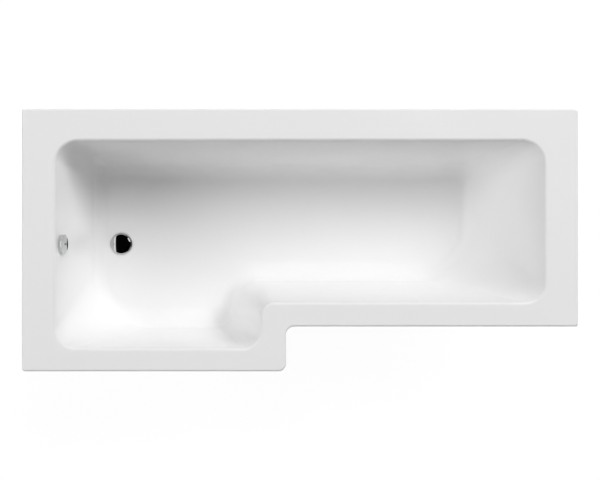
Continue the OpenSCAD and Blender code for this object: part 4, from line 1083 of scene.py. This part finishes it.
nut_reach = -hose_seal_t + nut_h - nut_lip_t
for name, node, place, turn in (
    ("hand_nut_upper", "hose_nut_upper", (hose_x, waste.y, spigot_low_z + nut_reach),
     (math.pi, 0, 0)),
    ("hand_nut_lower", "hose_nut_lower", (waste.x - inlet_end + nut_reach, waste.y, inlet_z),
     (0, -math.pi / 2, 0)),
):
    nut = hand_nut(name)
    put(nut, place, turn)
    smooth(nut)
    dress(nut, "bath", "dark_plastic", dark_plastic, node)
for node in ("hose_seal_upper", "hose_seal_lower"):
    repaint(node, rubber)


# Levelling feet
# Six studs of M12 zinc-plated steel in moulded pads, each held to its cross-bar by a flanged
# nut above and below. The nuts turn where they are, and the stud and pad go up and down.
feet = [(-0.447, -0.315), (-0.447, 0.3), (0.0160388, -0.17), (0.0160388, 0.3),
        (0.439078, -0.17), (0.439078, 0.3)]
stud_pitch = 0.00175
stud_r, stud_end = 0.006, 0.001
stud_low, stud_high = 0.008, 0.162
pad_r, pad_edge_h, pad_socket_r = 0.025, 0.005, 0.00615
web_top_z, web_low_z = 0.126, 0.124


def copied(piece, name):
    """A second piece with a mesh of its own."""
    twin = piece.copy()
    twin.data = piece.data.copy()
    twin.name = name
    scene.collection.objects.link(twin)
    return twin


threaded_length = stud_high - stud_low - 2 * stud_end
steps = round(threaded_length / stud_pitch * 6)
stud = turned("stud", [
    (0, stud_low), (stud_r - stud_end, stud_low),
    *[(stud_r, stud_low + stud_end + threaded_length * i / steps) for i in range(steps + 1)],
    (stud_r - stud_end, stud_high), (0, stud_high),
], 24)
threaded(stud, stud_low, stud_high, stud_r, stud_pitch, thread_depth)
smooth(stud, 25)

section = [
    (0, 0), (pad_r, 0), (pad_r, pad_edge_h), (0.0112, pad_edge_h), (0.0108, 0.018),
    (pad_socket_r, 0.018), (pad_socket_r, stud_low), (0, stud_low)]
section = rounded(rounded(section, 2, 0.0012), 1, 0.0005)
pad = turned("pad", section, 72)
for k in range(6):
    rib = block((0.008, -0.0015, 0.003), (pad_r - 0.001, 0.0015, 0.016))
    # Its top slopes from the socket down to the pad's edge
    for v in rib.data.vertices:
        if v.co.x > 0.02 and v.co.z > 0.01:
            v.co.z = pad_edge_h
        elif v.co.z > 0.01:
            v.co.x = 0.0075
    put(rib, (0, 0, 0), (0, 0, k * math.pi / 3))
    combine(pad, rib, "UNION")
use_modifier(pad, "BEVEL", width=0.0003, segments=1, limit_method="ANGLE",
             angle_limit=math.radians(50))
smooth(pad)

nut = turned("nut", [
    (0.00608, 0), (0.0112, 0), (0.0114, 0.0003), (0.0114, 0.0012), (0.011, 0.0016),
    (0.0098, 0.002), (0.0098, 0.0074), (0.0088, 0.008), (0.0066, 0.008), (0.00608, 0.0075)], 72)
# Above its flange it is cut to six flats, 18 mm across, that its top's bevel fades into
for v in nut.data.vertices:
    r = v.co.to_2d().length
    if v.co.z > 0.0018 and r > 0.0085:
        angle = (math.degrees(math.atan2(v.co.y, v.co.x)) % 60) - 30
        flat = 0.009 / cosd(angle)
        r_new = min(r + 0.0006, flat) if v.co.z < 0.0078 else min(r, flat)
        v.co.x *= r_new / r
        v.co.y *= r_new / r
smooth(nut, 25)

for n, (x, y) in enumerate(feet, 1):
    piece = copied(stud, f"levelling_stud_{n}")
    put(piece, (x, y, 0))
    dress(piece, f"foot_{n}", "zinc_plate", zinc, f"foot_stud_{n}")
    piece = copied(pad, f"levelling_pad_{n}")
    put(piece, (x, y, 0))
    dress(piece, f"foot_{n}", "dark_plastic", dark_plastic, f"foot_pad_{n}")
    upper = copied(nut, f"levelling_nuts_{n}")
    put(upper, (x, y, web_top_z))
    lower = copied(nut, "lower")
    put(lower, (x, y, web_low_z), (math.pi, 0, 0))
    pick(upper)
    lower.select_set(True)
    bpy.ops.object.join()
    dress(upper, f"nuts_{n}", "zinc_plate", zinc, f"foot_nuts_{n}")
for piece in (stud, pad, nut):
    bpy.data.objects.remove(piece)
